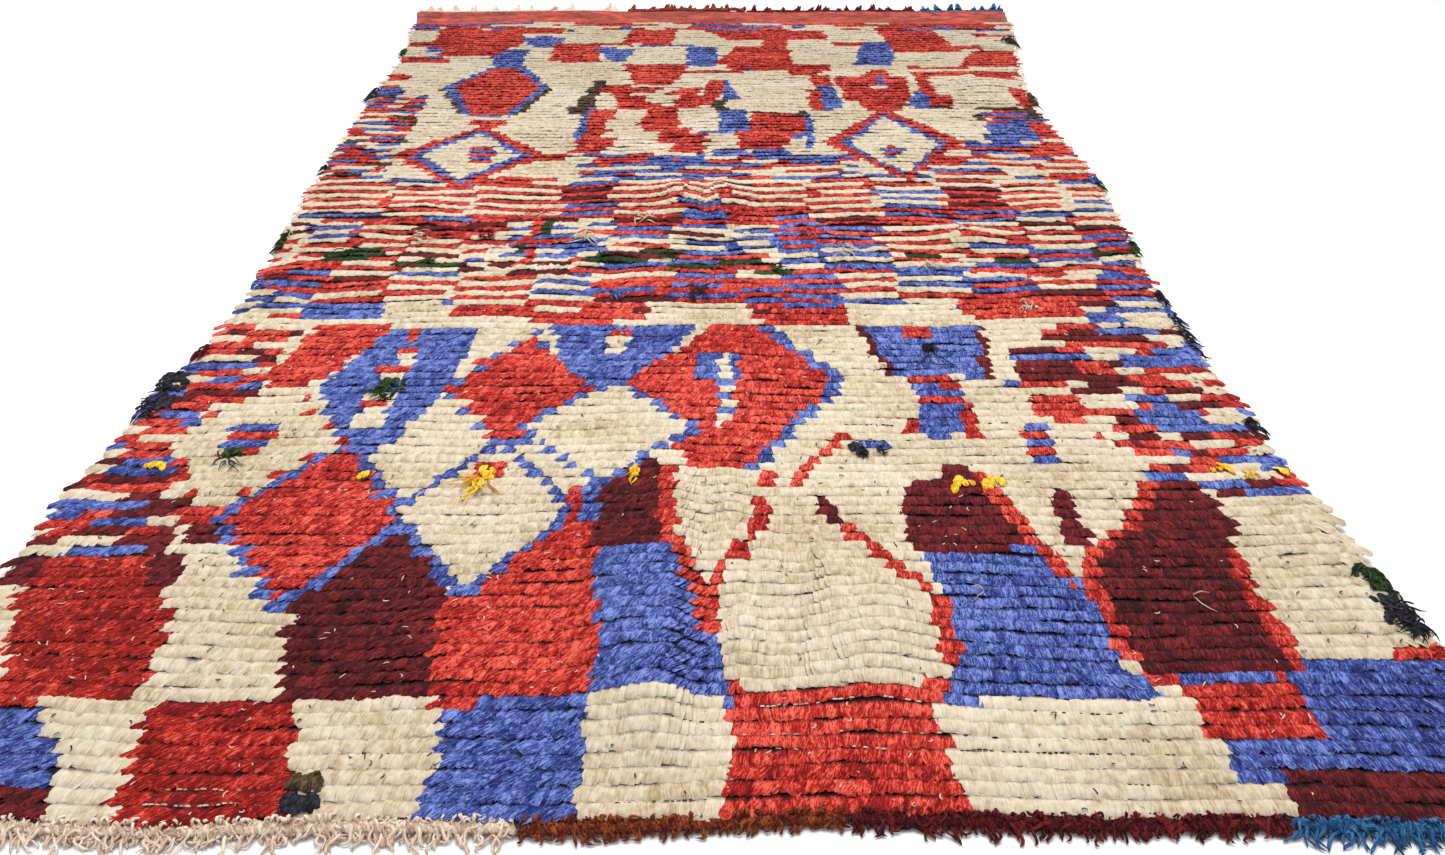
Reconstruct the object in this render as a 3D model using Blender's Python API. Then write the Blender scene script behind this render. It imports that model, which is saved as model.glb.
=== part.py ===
"""Moroccan knotted pile rug, lying flat, about 1.7 m wide and 2.85 m long without its fringes.

The cloth is one solid: about 144 rows of knotted pile, each raised as a rib, then a thin flat-woven
end. The warp ends show as a fringe in four yarn colours at both ends, each colour on its own narrow
twined band. A narrow selvedge with loose locks of yarn runs down each long side.

Units are metres. X runs across the rug, Y along it from the front end to the flat-woven end, and Z
is up. The origin is the middle of the rug's footprint, on the floor.
"""

import math
import random
from collections import namedtuple

import bmesh
import bpy
from mathutils import Vector, noise

# Lengths along the rug
PILE_FRONT_Y = -1.430
PILE_LENGTH = 2.700
KILIM_LENGTH = 0.145
KILIM_STEP_LENGTH = 0.0015
PILE_ROWS = 144

# Heights of the cloth above the floor
PILE_CREST = 0.0155
PILE_VALLEY = 0.0090
KILIM_TOP = 0.0045

# How far hand work makes each height vary, and how often per metre
CREST_LUMP = 0.0016
VALLEY_LUMP = 0.0012
KILIM_LUMP = 0.0005
TRIM_LUMP = 0.0013
LUMPS_ACROSS = 9.0
LUMPS_ALONG = 60.0

# Gaps between two trims, and between a trim and the cloth, whose edges bend a little differently
TRIM_GAP = 0.0003
CLOTH_GAP = 0.0007

# How far a pile row may stop short of the cloth's side
ROW_END_RAG = 0.011

# A row's crest lies this share of the way back from its front valley.
CREST_SHARE = 0.38
LINES_PER_ROW = 2
KILIM_LINES = 5
UNDERSIDE_STEP = 8

# The long edges, as stations along the rug
OUTLINE = (
    # y, left x, right x
    (-1.450, -0.888, 0.857),
    (-0.930, -0.880, 0.803),
    (-0.430, -0.822, 0.784),
    (0.050, -0.850, 0.823),
    (0.600, -0.864, 0.807),
    (0.950, -0.862, 0.855),
    (1.250, -0.898, 0.908),
    (1.420, -0.932, 0.932),
)
LEFT = 1
RIGHT = 2

# Rows wander lengthwise as the sum of these waves
SWAYS = (
    # size, turns across in radians a metre, turns over the pile's length in radians, phase
    (0.005, 5.1, 9.0, 0.6),
    (0.003, 13.0, -17.0, 0.0),
)

# Soft ridges where the rug stands off the floor, beside the lengthwise crease from its storage fold
CREASE_X = -0.015
CREASE_HALF_WIDTH = 0.022
CREASE_DEPTH = 0.75
RIDGES = (
    # x, y, half width, half length, height
    (-0.095, -1.165, 0.105, 0.250, 0.022),
    (0.185, -1.165, 0.090, 0.200, 0.017),
    (-0.060, 0.010, 0.080, 0.140, 0.012),
    (0.035, -0.005, 0.070, 0.120, 0.011),
    (0.720, 0.715, 0.110, 0.110, 0.009),
)

# Lengthwise lines of points across the cloth, as shares of its width, closer at the ridges
COLUMNS = (0.0, 0.145, 0.273, 0.39, 0.45, 0.488, 0.523, 0.564, 0.613, 0.663, 0.767, 0.89, 1.0)

# Each trim is a band beside the cloth and the strands that stand out from it
Trim = namedtuple(
    "Trim",
    "band_width band_top strand_width strand_height shortest longest lean_from lean_to",
)
FRONT_FRINGE = Trim(0.014, 0.0095, 0.0050, 0.0042, 0.014, 0.030, -0.08, 0.08)
FAR_FRINGE = Trim(0.007, 0.0045, 0.0085, 0.0042, 0.022, 0.048, -0.25, 0.25)
SELVEDGE = Trim(0.007, 0.0075, 0.0100, 0.0060, 0.006, 0.034, 0.0, 0.8)
SELVEDGE_MARGIN = 0.012
SIDE_LOCKS = 34

# The warp yarns change colour across the rug. Both ends show the same four colours.
FRONT_COLOURS = (
    # yarn, left x, right x, strands
    ("cream", -0.887, -0.200, 40),
    ("rust", -0.200, 0.126, 19),
    ("burgundy", 0.126, 0.567, 25),
    ("blue", 0.567, 0.856, 16),
)
FAR_COLOURS = (
    ("cream", -0.930, -0.265, 16),
    ("rust", -0.265, 0.110, 9),
    ("burgundy", 0.110, 0.650, 13),
    ("blue", 0.650, 0.930, 7),
)

# A strand is fullest part of the way along, then narrows to its end
STRAND_RINGS = (
    # share of its length, share of its lean, share of its thickness
    (0.45, 0.28, 0.90),
    (1.0, 1.0, 0.40),
)

# Yarn colours, linear, and how rough each looks
YARNS = {
    "cream": ((0.77, 0.66, 0.46), 0.90),
    "rust": ((0.20, 0.035, 0.010), 0.92),
    "burgundy": ((0.11, 0.012, 0.020), 0.92),
    "blue": ((0.035, 0.17, 0.36), 0.90),
    "coral": ((0.60, 0.055, 0.040), 0.92),
}

random_strands = random.Random(11)
random_rows = random.Random(5)


def edge_slope(index, column):
    """The outline's slope at a station, from its neighbours."""
    before = max(index - 1, 0)
    after = min(index + 1, len(OUTLINE) - 1)
    rise = OUTLINE[after][column] - OUTLINE[before][column]
    return rise / (OUTLINE[after][0] - OUTLINE[before][0])


def edge_x(y, column):
    """One long edge's x at y, on a smooth curve through the outline's stations."""
    y = min(max(y, OUTLINE[0][0]), OUTLINE[-1][0])
    start = max(i for i in range(len(OUTLINE) - 1) if OUTLINE[i][0] <= y)
    span = OUTLINE[start + 1][0] - OUTLINE[start][0]
    t = (y - OUTLINE[start][0]) / span
    return (
        OUTLINE[start][column] * (2 * t**3 - 3 * t**2 + 1)
        + edge_slope(start, column) * span * (t**3 - 2 * t**2 + t)
        + OUTLINE[start + 1][column] * (3 * t**2 - 2 * t**3)
        + edge_slope(start + 1, column) * span * (t**3 - t**2)
    )


def hump(distance, half):
    """A soft hump that is 1 in its middle and 0 from half a width outwards."""
    share = abs(distance) / half
    return math.cos(share * math.pi / 2) ** 2 if share < 1 else 0.0


def lift(x, y):
    """How far the rug stands off the floor."""
    raised = sum(
        height * hump(x - at_x, half_x) * hump(y - at_y, half_y)
        for at_x, at_y, half_x, half_y, height in RIDGES
    )
    return raised * (1 - CREASE_DEPTH * hump(x - CREASE_X, CREASE_HALF_WIDTH))


def row_line_y(x, along):
    """The y of a row line at x, where along runs from 0 at the pile's front to 1 at its end."""
    sway = sum(
        size * math.sin(across * x + lengthwise * along + phase)
        for size, across, lengthwise, phase in SWAYS
    )
    return PILE_FRONT_Y + along * PILE_LENGTH + sway


def column_x(share, y):
    return edge_x(y, LEFT) * (1 - share) + edge_x(y, RIGHT) * share


def cloth_point(share, along, past=0.0):
    """A point of the cloth seen from above, at a share of its width. past is the distance past along."""
    straight_y = PILE_FRONT_Y + along * PILE_LENGTH + past
    y = row_line_y(column_x(share, straight_y), along) + past
    return column_x(share, y), y


def end_line_y(x, along, past):
    """The y of one end of the cloth at x, in the straight runs between the cloth's columns."""
    points = [cloth_point(share, along, past) for share in COLUMNS]
    x = min(max(x, points[0][0]), points[-1][0])
    start = max(i for i in range(len(points) - 1) if points[i][0] <= x)
    (x0, y0), (x1, y1) = points[start], points[start + 1]
    share = (x - x0) / (x1 - x0)
    return y0 * (1 - share) + y1 * share


def lump(x, y):
    """From -1 to 1, the unevenness of hand work."""
    return noise.noise(Vector((x * LUMPS_ACROSS, y * LUMPS_ALONG, 0.0)))


def make_material(yarn):
    material = bpy.data.materials.new("yarn_" + yarn)
    material.use_nodes = True
    shader = material.node_tree.nodes["Principled BSDF"]
    colour, roughness = YARNS[yarn]
    shader.inputs["Base Color"].default_value = (*colour, 1.0)
    shader.inputs["Roughness"].default_value = roughness
    shader.inputs["Metallic"].default_value = 0.0
    return material


def add_object(name, built, material, collection):
    """Turns a finished bmesh into a named object."""
    bmesh.ops.recalc_face_normals(built, faces=built.faces)
    mesh = bpy.data.meshes.new(name)
    built.to_mesh(mesh)
    built.free()
    mesh.materials.append(material)
    collection.objects.link(bpy.data.objects.new(name, mesh))


def slab_from_grid(cells_x, cells_y, top_point, bottom_point):
    """A closed slab over a grid. Each point function turns a grid point (i, j) into its place.

    Also gives two tables, of the top's vertices and of the underside's, with the grid point of each.
    """
    built = bmesh.new()
    bmesh.ops.create_grid(built, x_segments=cells_x, y_segments=cells_y, size=0.5)
    raised = bmesh.ops.extrude_face_region(built, geom=list(built.faces), use_keep_orig=True)
    below = {item for item in raised["geom"] if isinstance(item, bmesh.types.BMVert)}
    marks = {
        vertex: (round((vertex.co.x + 0.5) * cells_x), round((vertex.co.y + 0.5) * cells_y))
        for vertex in built.verts
    }
    top_marks = {vertex: mark for vertex, mark in marks.items() if vertex not in below}
    bottom_marks = {vertex: mark for vertex, mark in marks.items() if vertex in below}
    for vertex, mark in top_marks.items():
        vertex.co = top_point(*mark)
    for vertex, mark in bottom_marks.items():
        vertex.co = bottom_point(*mark)
    return built, top_marks, bottom_marks


def make_cloth(material, collection):
    """The pile rows as ribs on one slab, with the thin flat-woven end behind them."""
    pile_lines = PILE_ROWS * LINES_PER_ROW
    cells_x = len(COLUMNS) - 1
    cells_y = pile_lines + KILIM_LINES
    row_ends = [
        (random_rows.uniform(0.0, ROW_END_RAG), random_rows.uniform(0.0, ROW_END_RAG))
        for _ in range(PILE_ROWS)
    ]

    def plan_point(i, j):
        if j <= pile_lines:
            row, crest = divmod(j, LINES_PER_ROW)
            return cloth_point(COLUMNS[i], (row + crest * CREST_SHARE) / PILE_ROWS)
        share = (j - pile_lines - 1) / (KILIM_LINES - 1)
        past = KILIM_STEP_LENGTH + share * (KILIM_LENGTH - KILIM_STEP_LENGTH)
        return cloth_point(COLUMNS[i], 1.0, past)

    def top_point(i, j):
        x, y = plan_point(i, j)
        if 0 < j < pile_lines:
            left_rag, right_rag = row_ends[j // LINES_PER_ROW]
            x += left_rag if i == 0 else 0.0
            x -= right_rag if i == cells_x else 0.0
        if j > pile_lines:
            height = KILIM_TOP + KILIM_LUMP * lump(x, y)
        elif j % LINES_PER_ROW:
            height = PILE_CREST + CREST_LUMP * lump(x, y)
        else:
            height = PILE_VALLEY + VALLEY_LUMP * lump(x, y)
        return x, y, height + lift(x, y)

    def bottom_point(i, j):
        x, y = plan_point(i, j)
        return x, y, lift(x, y)

    built, _, below = slab_from_grid(cells_x, cells_y, top_point, bottom_point)
    kept_lines = {*range(0, pile_lines + 1, UNDERSIDE_STEP), cells_y}
    spare_edges = [
        edge
        for edge in built.edges
        if all(vertex in below for vertex in edge.verts)
        and below[edge.verts[0]][1] == below[edge.verts[1]][1]
        and below[edge.verts[0]][1] not in kept_lines
    ]
    bmesh.ops.dissolve_edges(built, edges=spare_edges, use_verts=True)
    add_object("rug_cloth", built, material, collection)


def grow_strand(built, root, outward, length, lean, trim):
    """Extrudes a root face ring by ring. Each ring stands upright with its lower edge on the floor."""
    across = Vector((-outward.y, outward.x, 0.0))
    start = root.calc_center_median()
    face = root
    for length_share, lean_share, thickness_share in STRAND_RINGS:
        face = bmesh.ops.extrude_discrete_faces(built, faces=[face])["faces"][0]
        middle = face.calc_center_median()
        new_middle = start + outward * (length * length_share) + across * (lean * lean_share)
        half_width = thickness_share * trim.strand_width / 2
        for vertex in face.verts:
            from_middle = vertex.co - middle
            corner = new_middle + across * math.copysign(half_width, from_middle.dot(across))
            top = thickness_share * trim.strand_height if from_middle.z > 0 else 0.0
            vertex.co = (corner.x, corner.y, top)


def make_trim(name, place, run_from, run_to, strands, trim, material, collection):
    """A band beside one edge of the cloth, with strands that stand out from its outer wall.

    place(run, out) is the point that lies run along the edge and out away from it, seen from above.
    """
    pitch = (run_to - run_from) / strands

    def plan_point(i, j):
        strand, at_root = divmod(i, 2)
        run = run_from + strand * pitch + at_root * (pitch - trim.strand_width)
        return place(run, j * trim.band_width)

    def top_point(i, j):
        x, y = plan_point(i, j)
        return x, y, trim.band_top + TRIM_LUMP * lump(x, y)

    def bottom_point(i, j):
        return (*plan_point(i, j), 0.0)

    built, above, below = slab_from_grid(2 * strands, 1, top_point, bottom_point)
    marks = {**above, **below}
    first_column = {
        face: min(marks[vertex][0] for vertex in face.verts)
        for face in built.faces
        if all(marks[vertex][1] == 1 for vertex in face.verts)
    }
    roots = sorted((face for face in first_column if first_column[face] % 2), key=first_column.get)
    outward = Vector((*place(run_from, 1.0), 0.0)) - Vector((*place(run_from, 0.0), 0.0))
    for root in roots:
        length = random_strands.uniform(trim.shortest, trim.longest)
        lean = length * random_strands.uniform(trim.lean_from, trim.lean_to)
        grow_strand(built, root, outward, length, lean, trim)
    add_object(name, built, material, collection)


def make_fringe(end, yarn, x_from, x_to, strands, material, collection):
    """One colour of warp ends, at the front or the far end."""
    outward, along, past, trim = {
        "front": (-1, 0.0, 0.0, FRONT_FRINGE),
        "far": (1, 1.0, KILIM_LENGTH, FAR_FRINGE),
    }[end]

    def place(x, out):
        return x, end_line_y(x, along, past) + outward * (CLOTH_GAP + out)

    name = f"{end}_fringe_{yarn}"
    make_trim(name, place, x_from + TRIM_GAP / 2, x_to - TRIM_GAP / 2, strands, trim, material, collection)


def make_selvedge(side, material, collection):
    """The overcast edge down one long side, with its loose locks, which lean to the front."""
    outward, column = {"left": (-1, LEFT), "right": (1, RIGHT)}[side]
    trim = SELVEDGE
    if side == "left":
        trim = trim._replace(lean_from=-trim.lean_to, lean_to=-trim.lean_from)

    def place(y, out):
        return edge_x(y, column) + outward * (CLOTH_GAP + out), y

    y_from = PILE_FRONT_Y + SELVEDGE_MARGIN
    y_to = PILE_FRONT_Y + PILE_LENGTH - SELVEDGE_MARGIN
    make_trim(f"{side}_selvedge", place, y_from, y_to, SIDE_LOCKS, trim, material, collection)


def main():
    for leftover in list(bpy.data.objects):
        bpy.data.objects.remove(leftover)
    collection = bpy.data.collections.new("moroccan_rug")
    bpy.context.scene.collection.children.link(collection)
    materials = {yarn: make_material(yarn) for yarn in YARNS}
    make_cloth(materials["coral"], collection)
    for end, colours in (("front", FRONT_COLOURS), ("far", FAR_COLOURS)):
        for yarn, x_from, x_to, strands in colours:
            make_fringe(end, yarn, x_from, x_to, strands, materials[yarn], collection)
    for side in ("left", "right"):
        make_selvedge(side, materials["cream"], collection)


main()
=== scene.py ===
"""Looks of the Moroccan knotted pile rug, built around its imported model.

Each knot of the pile is one or two locks of yarn that lie forward over the row in front, so the rows
overlap like shingles. The pattern is drawn by rule from the tables below, one knot at a time.
Units are metres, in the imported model's own frame. The tables with u and v are in millimetres.
"""

import math

import bpy
import numpy as np
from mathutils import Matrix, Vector


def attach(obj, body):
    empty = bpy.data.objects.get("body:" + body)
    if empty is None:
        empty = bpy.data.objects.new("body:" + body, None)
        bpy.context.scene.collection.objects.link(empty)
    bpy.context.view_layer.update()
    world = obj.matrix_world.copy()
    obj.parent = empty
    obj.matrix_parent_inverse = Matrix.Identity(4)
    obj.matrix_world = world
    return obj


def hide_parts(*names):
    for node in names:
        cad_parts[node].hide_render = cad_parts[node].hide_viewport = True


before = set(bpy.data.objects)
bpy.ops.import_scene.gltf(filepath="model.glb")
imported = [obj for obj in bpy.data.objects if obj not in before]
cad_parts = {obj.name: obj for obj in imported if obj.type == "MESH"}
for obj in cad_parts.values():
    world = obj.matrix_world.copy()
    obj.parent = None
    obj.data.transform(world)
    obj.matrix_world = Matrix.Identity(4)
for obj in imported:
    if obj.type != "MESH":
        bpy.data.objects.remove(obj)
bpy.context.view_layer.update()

# The rug's own measures, as in its solids
PILE_FRONT_Y = -1.43
PILE_LENGTH = 2.7
KILIM_LENGTH = 0.145
PILE_ROWS = 144
ROW_END_RAG = 0.011
CREASE_X = -0.015
CREASE_HALF_WIDTH = 0.022
CREASE_DEPTH = 0.75
EDGE_STATIONS = np.array(
    (
        # y, left x, right x
        (-1.45, -0.888, 0.857),
        (-0.93, -0.88, 0.803),
        (-0.43, -0.822, 0.784),
        (0.05, -0.85, 0.823),
        (0.6, -0.864, 0.807),
        (0.95, -0.862, 0.855),
        (1.25, -0.898, 0.908),
        (1.42, -0.932, 0.932),
    )
)
LEFT = 1
RIGHT = 2
SWAYS = ((0.005, 5.1, 9.0, 0.6), (0.003, 13.0, -17.0, 0.0))
RIDGES = (
    # x, y, half width, half length, height
    (-0.095, -1.165, 0.105, 0.25, 0.022),
    (0.185, -1.165, 0.09, 0.2, 0.017),
    (-0.06, 0.01, 0.08, 0.14, 0.012),
    (0.035, -0.005, 0.07, 0.12, 0.011),
    (0.72, 0.715, 0.11, 0.11, 0.009),
)
# Small sharp folds that only the yarns have
FOLDS = (
    (-0.072, -1.285, 0.05, 0.12, 0.013),
    (-0.058, -1.18, 0.024, 0.16, 0.008),
    (0.03, -1.2, 0.026, 0.17, 0.008),
    (0.06, -1.05, 0.024, 0.13, 0.006),
    (0.172, -1.255, 0.06, 0.09, 0.006),
    (0.14, -1.12, 0.026, 0.12, 0.007),
    (0.115, -1.215, 0.02, 0.11, 0.006),
    (-0.062, -0.96, 0.046, 0.21, 0.01),
    (0.016, -0.98, 0.034, 0.2, 0.007),
    (-0.075, 0.03, 0.03, 0.08, 0.008),
    (0.02, 0.04, 0.03, 0.09, 0.008),
    (0.5, -0.14, 0.09, 0.05, 0.006),
    (-0.33, -0.11, 0.07, 0.05, 0.005),
)

# How the rows waver from side to side along the rug
WAVER_ALONG = (0.0, 0.05, 0.34, 0.42, 0.6, 0.95, 1.0)
WAVER_SIZE = (0.0, 0.003, 0.005, 0.013, 0.007, 0.005, 0.0)

KNOTS = 240
ROW_PITCH = PILE_LENGTH / PILE_ROWS
NEAR_ROWS = 54

# The tables give places on the floor's scale, in millimetres: u across from the crease, v from the front
# end. The pile's face stands above the floor, and so the tables spread over it a little less.
PATTERN_SPREAD = 1.013
PATTERN_FOOT = 0.6
PATTERN_U = 0.015
PATTERN_V = 1.435
# How far the figures' sides wander from row to row, and over what distance they do
WANDER = 8
WANDER_PATCH = 45
STRIPE_SEED = 40
BRICK_SEED = 60

YARN_NAMES = ("cream", "coral", "blue", "burgundy", "green", "dark", "brown", "yellow")
YARN_CODE = {name: code for code, name in enumerate(YARN_NAMES)}

STRIPE_ZONES = (
    # u from, u to, v from, v to, mean run, yarns and their shares
    (-950, -700, 385, 580, 75, {"burgundy": 35, "cream": 32, "coral": 23, "blue": 10}),
    (-950, -700, 580, 960, 65, {"burgundy": 22, "cream": 28, "coral": 33, "blue": 17}),
    (620, 950, 500, 690, 50, {"coral": 34, "cream": 24, "blue": 24, "burgundy": 18}),
    (580, 950, 690, 800, 45, {"coral": 42, "cream": 30, "blue": 18, "burgundy": 10}),
    (580, 950, 800, 972, 70, {"coral": 32, "cream": 36, "blue": 18, "burgundy": 14}),
    (-950, -715, 1575, 2090, 70, {"coral": 46, "cream": 24, "blue": 24, "brown": 6}),
    (-270, 350, 1575, 1710, 110, {"coral": 46, "cream": 42, "blue": 12}),
    (500, 950, 1575, 1700, 120, {"coral": 44, "cream": 34, "blue": 20, "dark": 2}),
    (620, 950, 1700, 1800, 100, {"coral": 44, "cream": 30, "blue": 26}),
    (700, 950, 1910, 2010, 80, {"coral": 56, "blue": 28, "brown": 16}),
    (-1000, 1000, 2665, 2690, 90, {"coral": 46, "cream": 40, "blue": 9, "dark": 5}),
    (-1000, 1000, 2690, 2725, 200, {"coral": 64, "cream": 34, "blue": 2}),
    (-1000, 1000, 2725, 2760, 160, {"cream": 66, "coral": 33, "blue": 1}),
)

# How a run's start and end stray, its shortest and longest share of the mean run, and how much rarer a
# yarn is beside a run of its own and behind one
RUN_START_STRAY = 20
RUN_END_STRAY = 10
RUN_SHARES = (0.35, 1.8)
BESIDE_ITS_OWN = 0.15
BEHIND_ITS_OWN = 0.3

BRICK_ZONES = (
    # v from, v to, the upright lines' u, rows until the yarns change, pairs of yarns and their shares
    (
        985,
        1145,
        (-1000, -790, -705, -585, -450, -310, -210, -60, 60, 140, 240, 360, 490, 600, 720, 1000),
        (2, 5),
        {("coral", "cream"): 30, ("blue", "cream"): 26, ("blue", "coral"): 24, ("burgundy", "coral"): 7},
    ),
    (
        1145,
        1385,
        (-1000, -790, -700, -580, -470, -400, -250, -190, -60, 50, 140, 220, 350, 500, 630, 740, 1000),
        (2, 4),
        {
            ("coral", "cream"): 32,
            ("blue", "cream"): 18,
            ("blue", "coral"): 20,
            ("burgundy", "coral"): 13,
            ("burgundy", "cream"): 9,
        },
    ),
    (
        1385,
        1575,
        (-1000, -670, -490, -300, -190, -50, 40, 220, 360, 500, 640, 760, 1000),
        (2, 6),
        {("coral", "cream"): 74, ("blue", "cream"): 12, ("blue", "coral"): 9, ("burgundy", "coral"): 5},
    ),
)

BRICK_STRAY = 10

BLOCKS = (
    # yarn, then its blocks: v from, v to, left and right u, and those at the far end where they differ
    (
        "blue",
        (-10, 155, -285, -130), (55, 110, -950, -670, -950, -695), (110, 170, -950, -715, -950, -755),
        (600, 775, -530, -475, -615, -400), (655, 705, 670, 755), (765, 800, -170, -125),
        (770, 795, 470, 500), (775, 955, -610, -400, -535, -395), (800, 955, -225, -105, -265, -10),
        (822, 860, 680, 830), (840, 860, 500, 600), (960, 980, 660, 730), (985, 1040, -710, -570),
        (1545, 1572, -700, -500), (1570, 1595, -160, 0), (1575, 1600, 345, 490), (1600, 1622, -245, -155),
        (1628, 1648, -295, -245), (1642, 1700, -130, 0), (1652, 1695, 190, 300), (1670, 1735, 112, 200),
        (1705, 1732, 15, 115), (1778, 1802, 590, 650), (1785, 1830, 655, 795), (1800, 2010, -312, -275),
        (1830, 1912, 680, 795), (1862, 1990, 30, 105), (1912, 1942, 760, 950),
        (1998, 2135, 515, 578, 535, 578), (2110, 2152, -950, -790), (2160, 2355, -692, -412, -575, -512),
        (2340, 2395, -600, -515), (2340, 2545, 410, 520, 455, 545), (2395, 2485, -612, -510),
        (2460, 2515, -800, -735), (2505, 2530, -200, -30), (2680, 2708, -260, -222), (2685, 2712, 255, 300),
        (2690, 2708, 700, 740), (2690, 2715, -950, -820), (2725, 2760, -600, -535),
    ),
    (
        "burgundy",
        (-10, 55, -950, -665), (155, 300, -475, -305, -505, -305), (400, 440, -690, -615),
        (405, 520, 468, 502, 478, 505), (450, 535, 565, 712, 622, 690), (490, 545, 265, 405, 290, 380),
        (535, 575, 335, 380), (555, 620, -125, -62, -100, -80), (770, 800, 600, 670), (795, 840, 505, 600),
        (800, 955, 290, 460, 255, 480), (860, 880, 505, 580), (900, 925, 570, 745),
    ),
    (
        "coral",
        (-10, 155, -595, -415, -612, -450), (-10, 175, 20, 270, 30, 250), (100, 185, 540, 665),
        (155, 195, 238, 280), (155, 300, -790, -632, -845, -645), (178, 220, 500, 700),
        (210, 300, 272, 310), (210, 350, 476, 507, 462, 490), (212, 236, 800, 950),
        (300, 385, -845, -662, -850, -700), (330, 440, -550, -480, -635, -450),
        (345, 430, -300, -115, -222, -120), (430, 535, -220, -130, -185, -130), (455, 478, -710, -650),
        (565, 790, -25, 60, -125, 215), (670, 700, 520, 575), (700, 755, 500, 580), (765, 790, 505, 570),
        (765, 800, -670, -635, -708, -612), (775, 800, 690, 760), (790, 955, -125, 220, 15, 95),
        (800, 822, 600, 670), (800, 860, -378, -320), (800, 955, -708, -608, -665, -526),
        (880, 900, 600, 770), (965, 1000, 100, 250), (970, 1010, -300, -120), (980, 1030, -440, -300),
        (985, 1060, 450, 660), (1545, 1580, -500, -380), (1660, 1680, -85, -50), (1660, 1700, -250, -130),
        (1680, 1712, -420, -320), (1710, 1732, -315, -235), (1720, 1780, -78, -5),
        (1732, 1815, -302, -225, -302, -205), (1735, 1762, 570, 950), (1740, 1860, 75, 172, 70, 240),
        (1780, 1845, -115, 5), (1800, 1912, 790, 950), (1815, 1935, -290, -245), (1845, 1868, -290, -215),
        (1845, 1872, -145, -30), (1860, 1975, 105, 258, 112, 240), (1868, 1895, -555, -508),
        (1872, 1950, -162, -62), (1893, 1922, -585, -490), (1935, 2005, -290, -222),
        (1950, 2000, -145, -68), (1980, 2060, 405, 490, 385, 515), (1980, 2145, 792, 950),
        (2000, 2032, -155, -12), (2000, 2150, 262, 300), (2005, 2050, -235, -135), (2015, 2100, 575, 640),
        (2032, 2110, -92, 20, -60, 38), (2050, 2105, -238, -155), (2060, 2245, 352, 520, 345, 545),
        (2100, 2255, 562, 602), (2105, 2130, -250, -190), (2110, 2160, -105, -20, -60, 0),
        (2110, 2225, -5, 52, 10, 55), (2130, 2160, -285, -105), (2150, 2255, 285, 335),
        (2152, 2170, -950, -800), (2160, 2182, -270, -190), (2170, 2325, -665, -438, -575, -530),
        (2180, 2345, -188, -85, -235, -45), (2210, 2262, -950, -800), (2215, 2262, 720, 830),
        (2245, 2305, 405, 515, 455, 480), (2252, 2300, 230, 290, 220, 345), (2258, 2285, 555, 950),
        (2280, 2303, -60, 110), (2300, 2345, 60, 345), (2305, 2332, 555, 720),
        (2330, 2470, 700, 950, 765, 950), (2360, 2410, -950, -715), (2425, 2500, -775, -600, -740, -560),
        (2455, 2665, 545, 735, 515, 690), (2475, 2520, 700, 800), (2500, 2665, -800, -540),
        (2515, 2550, -300, -215), (2515, 2560, -950, -800), (2520, 2560, 370, 460), (2520, 2610, 165, 240),
        (2535, 2665, -250, -100, -225, -85), (2572, 2665, 60, 360, 0, 360), (2600, 2630, 800, 950),
        (2640, 2700, -820, -660, -800, -700), (2640, 2700, -580, -430),
    ),
    (
        "brown",
        (1940, 2020, 800, 950), (1960, 2160, -615, -465, -705, -395), (2080, 2110, -950, -800),
    ),
    (
        "cream",
        (980, 1030, -100, 80), (980, 1040, 250, 440), (985, 1035, -570, -440),
    ),
    (
        "blue",
        (50, 105, 550, 950), (100, 210, 665, 950), (155, 200, 270, 515, 280, 500), (180, 202, 540, 650),
        (200, 300, 298, 480), (300, 410, 295, 478, 275, 440), (605, 635, -115, -65),
        (800, 955, 305, 445, 270, 465), (1800, 1845, 195, 215, 220, 245), (1838, 1862, -15, 70),
        (1950, 2160, -598, -485, -690, -415), (2000, 2175, 295, 350, 300, 335),
        (2075, 2220, 45, 85, 48, 65), (2335, 2505, -55, 30), (2402, 2425, -790, -745),
        (2500, 2605, -505, -430, -560, -412),
    ),
    (
        "burgundy",
        (-10, 70, 600, 950), (300, 455, -505, -310, -430, -392), (312, 335, -548, -510),
        (330, 385, -950, -845), (330, 385, -705, -662), (400, 490, 270, 425, 265, 410),
    ),
    (
        "coral",
        (155, 345, -312, -115, -315, -115), (200, 405, 640, 690, 640, 695),
        (1955, 2170, -578, -500, -668, -438), (2345, 2520, 18, 245, 90, 240), (2370, 2545, -440, -300),
    ),
    (
        "blue",
        (155, 270, -128, 36, -115, 8), (270, 410, -122, 8, -140, -42), (2365, 2495, -270, -225, -315, -200),
    ),
    (
        "burgundy",
        (198, 360, 506, 672, 488, 665), (360, 450, 492, 665, 554, 710), (405, 555, -148, -50, -140, -62),
    ),
)

# An outline's width, and how far it goes past the two tips in shares of the half height
LOZENGE_RIM = 18
LOZENGE_TIP = 0.08
LOZENGES = (
    # yarn, middle u, middle v, half width, half height, outline yarn, rows from one outline knot to the next
    ("coral", -525, 462, 122, 155, "blue", 1),
    ("cream", -670, 632, 125, 148, "coral", 2),
    ("coral", -290, 768, 112, 155, "blue", 2),
    ("cream", -300, 475, 110, 145, "blue", 1),
    ("cream", -145, 665, 125, 120, "blue", 1),
    ("coral", -540, 1705, 180, 185, None, 1),
    ("blue", -540, 1705, 142, 155, None, 1),
    ("cream", -540, 1705, 112, 130, None, 1),
    ("coral", 442, 1785, 168, 225, None, 1),
    ("blue", 442, 1780, 125, 188, None, 1),
    ("cream", 442, 1775, 103, 168, None, 1),
)

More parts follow.
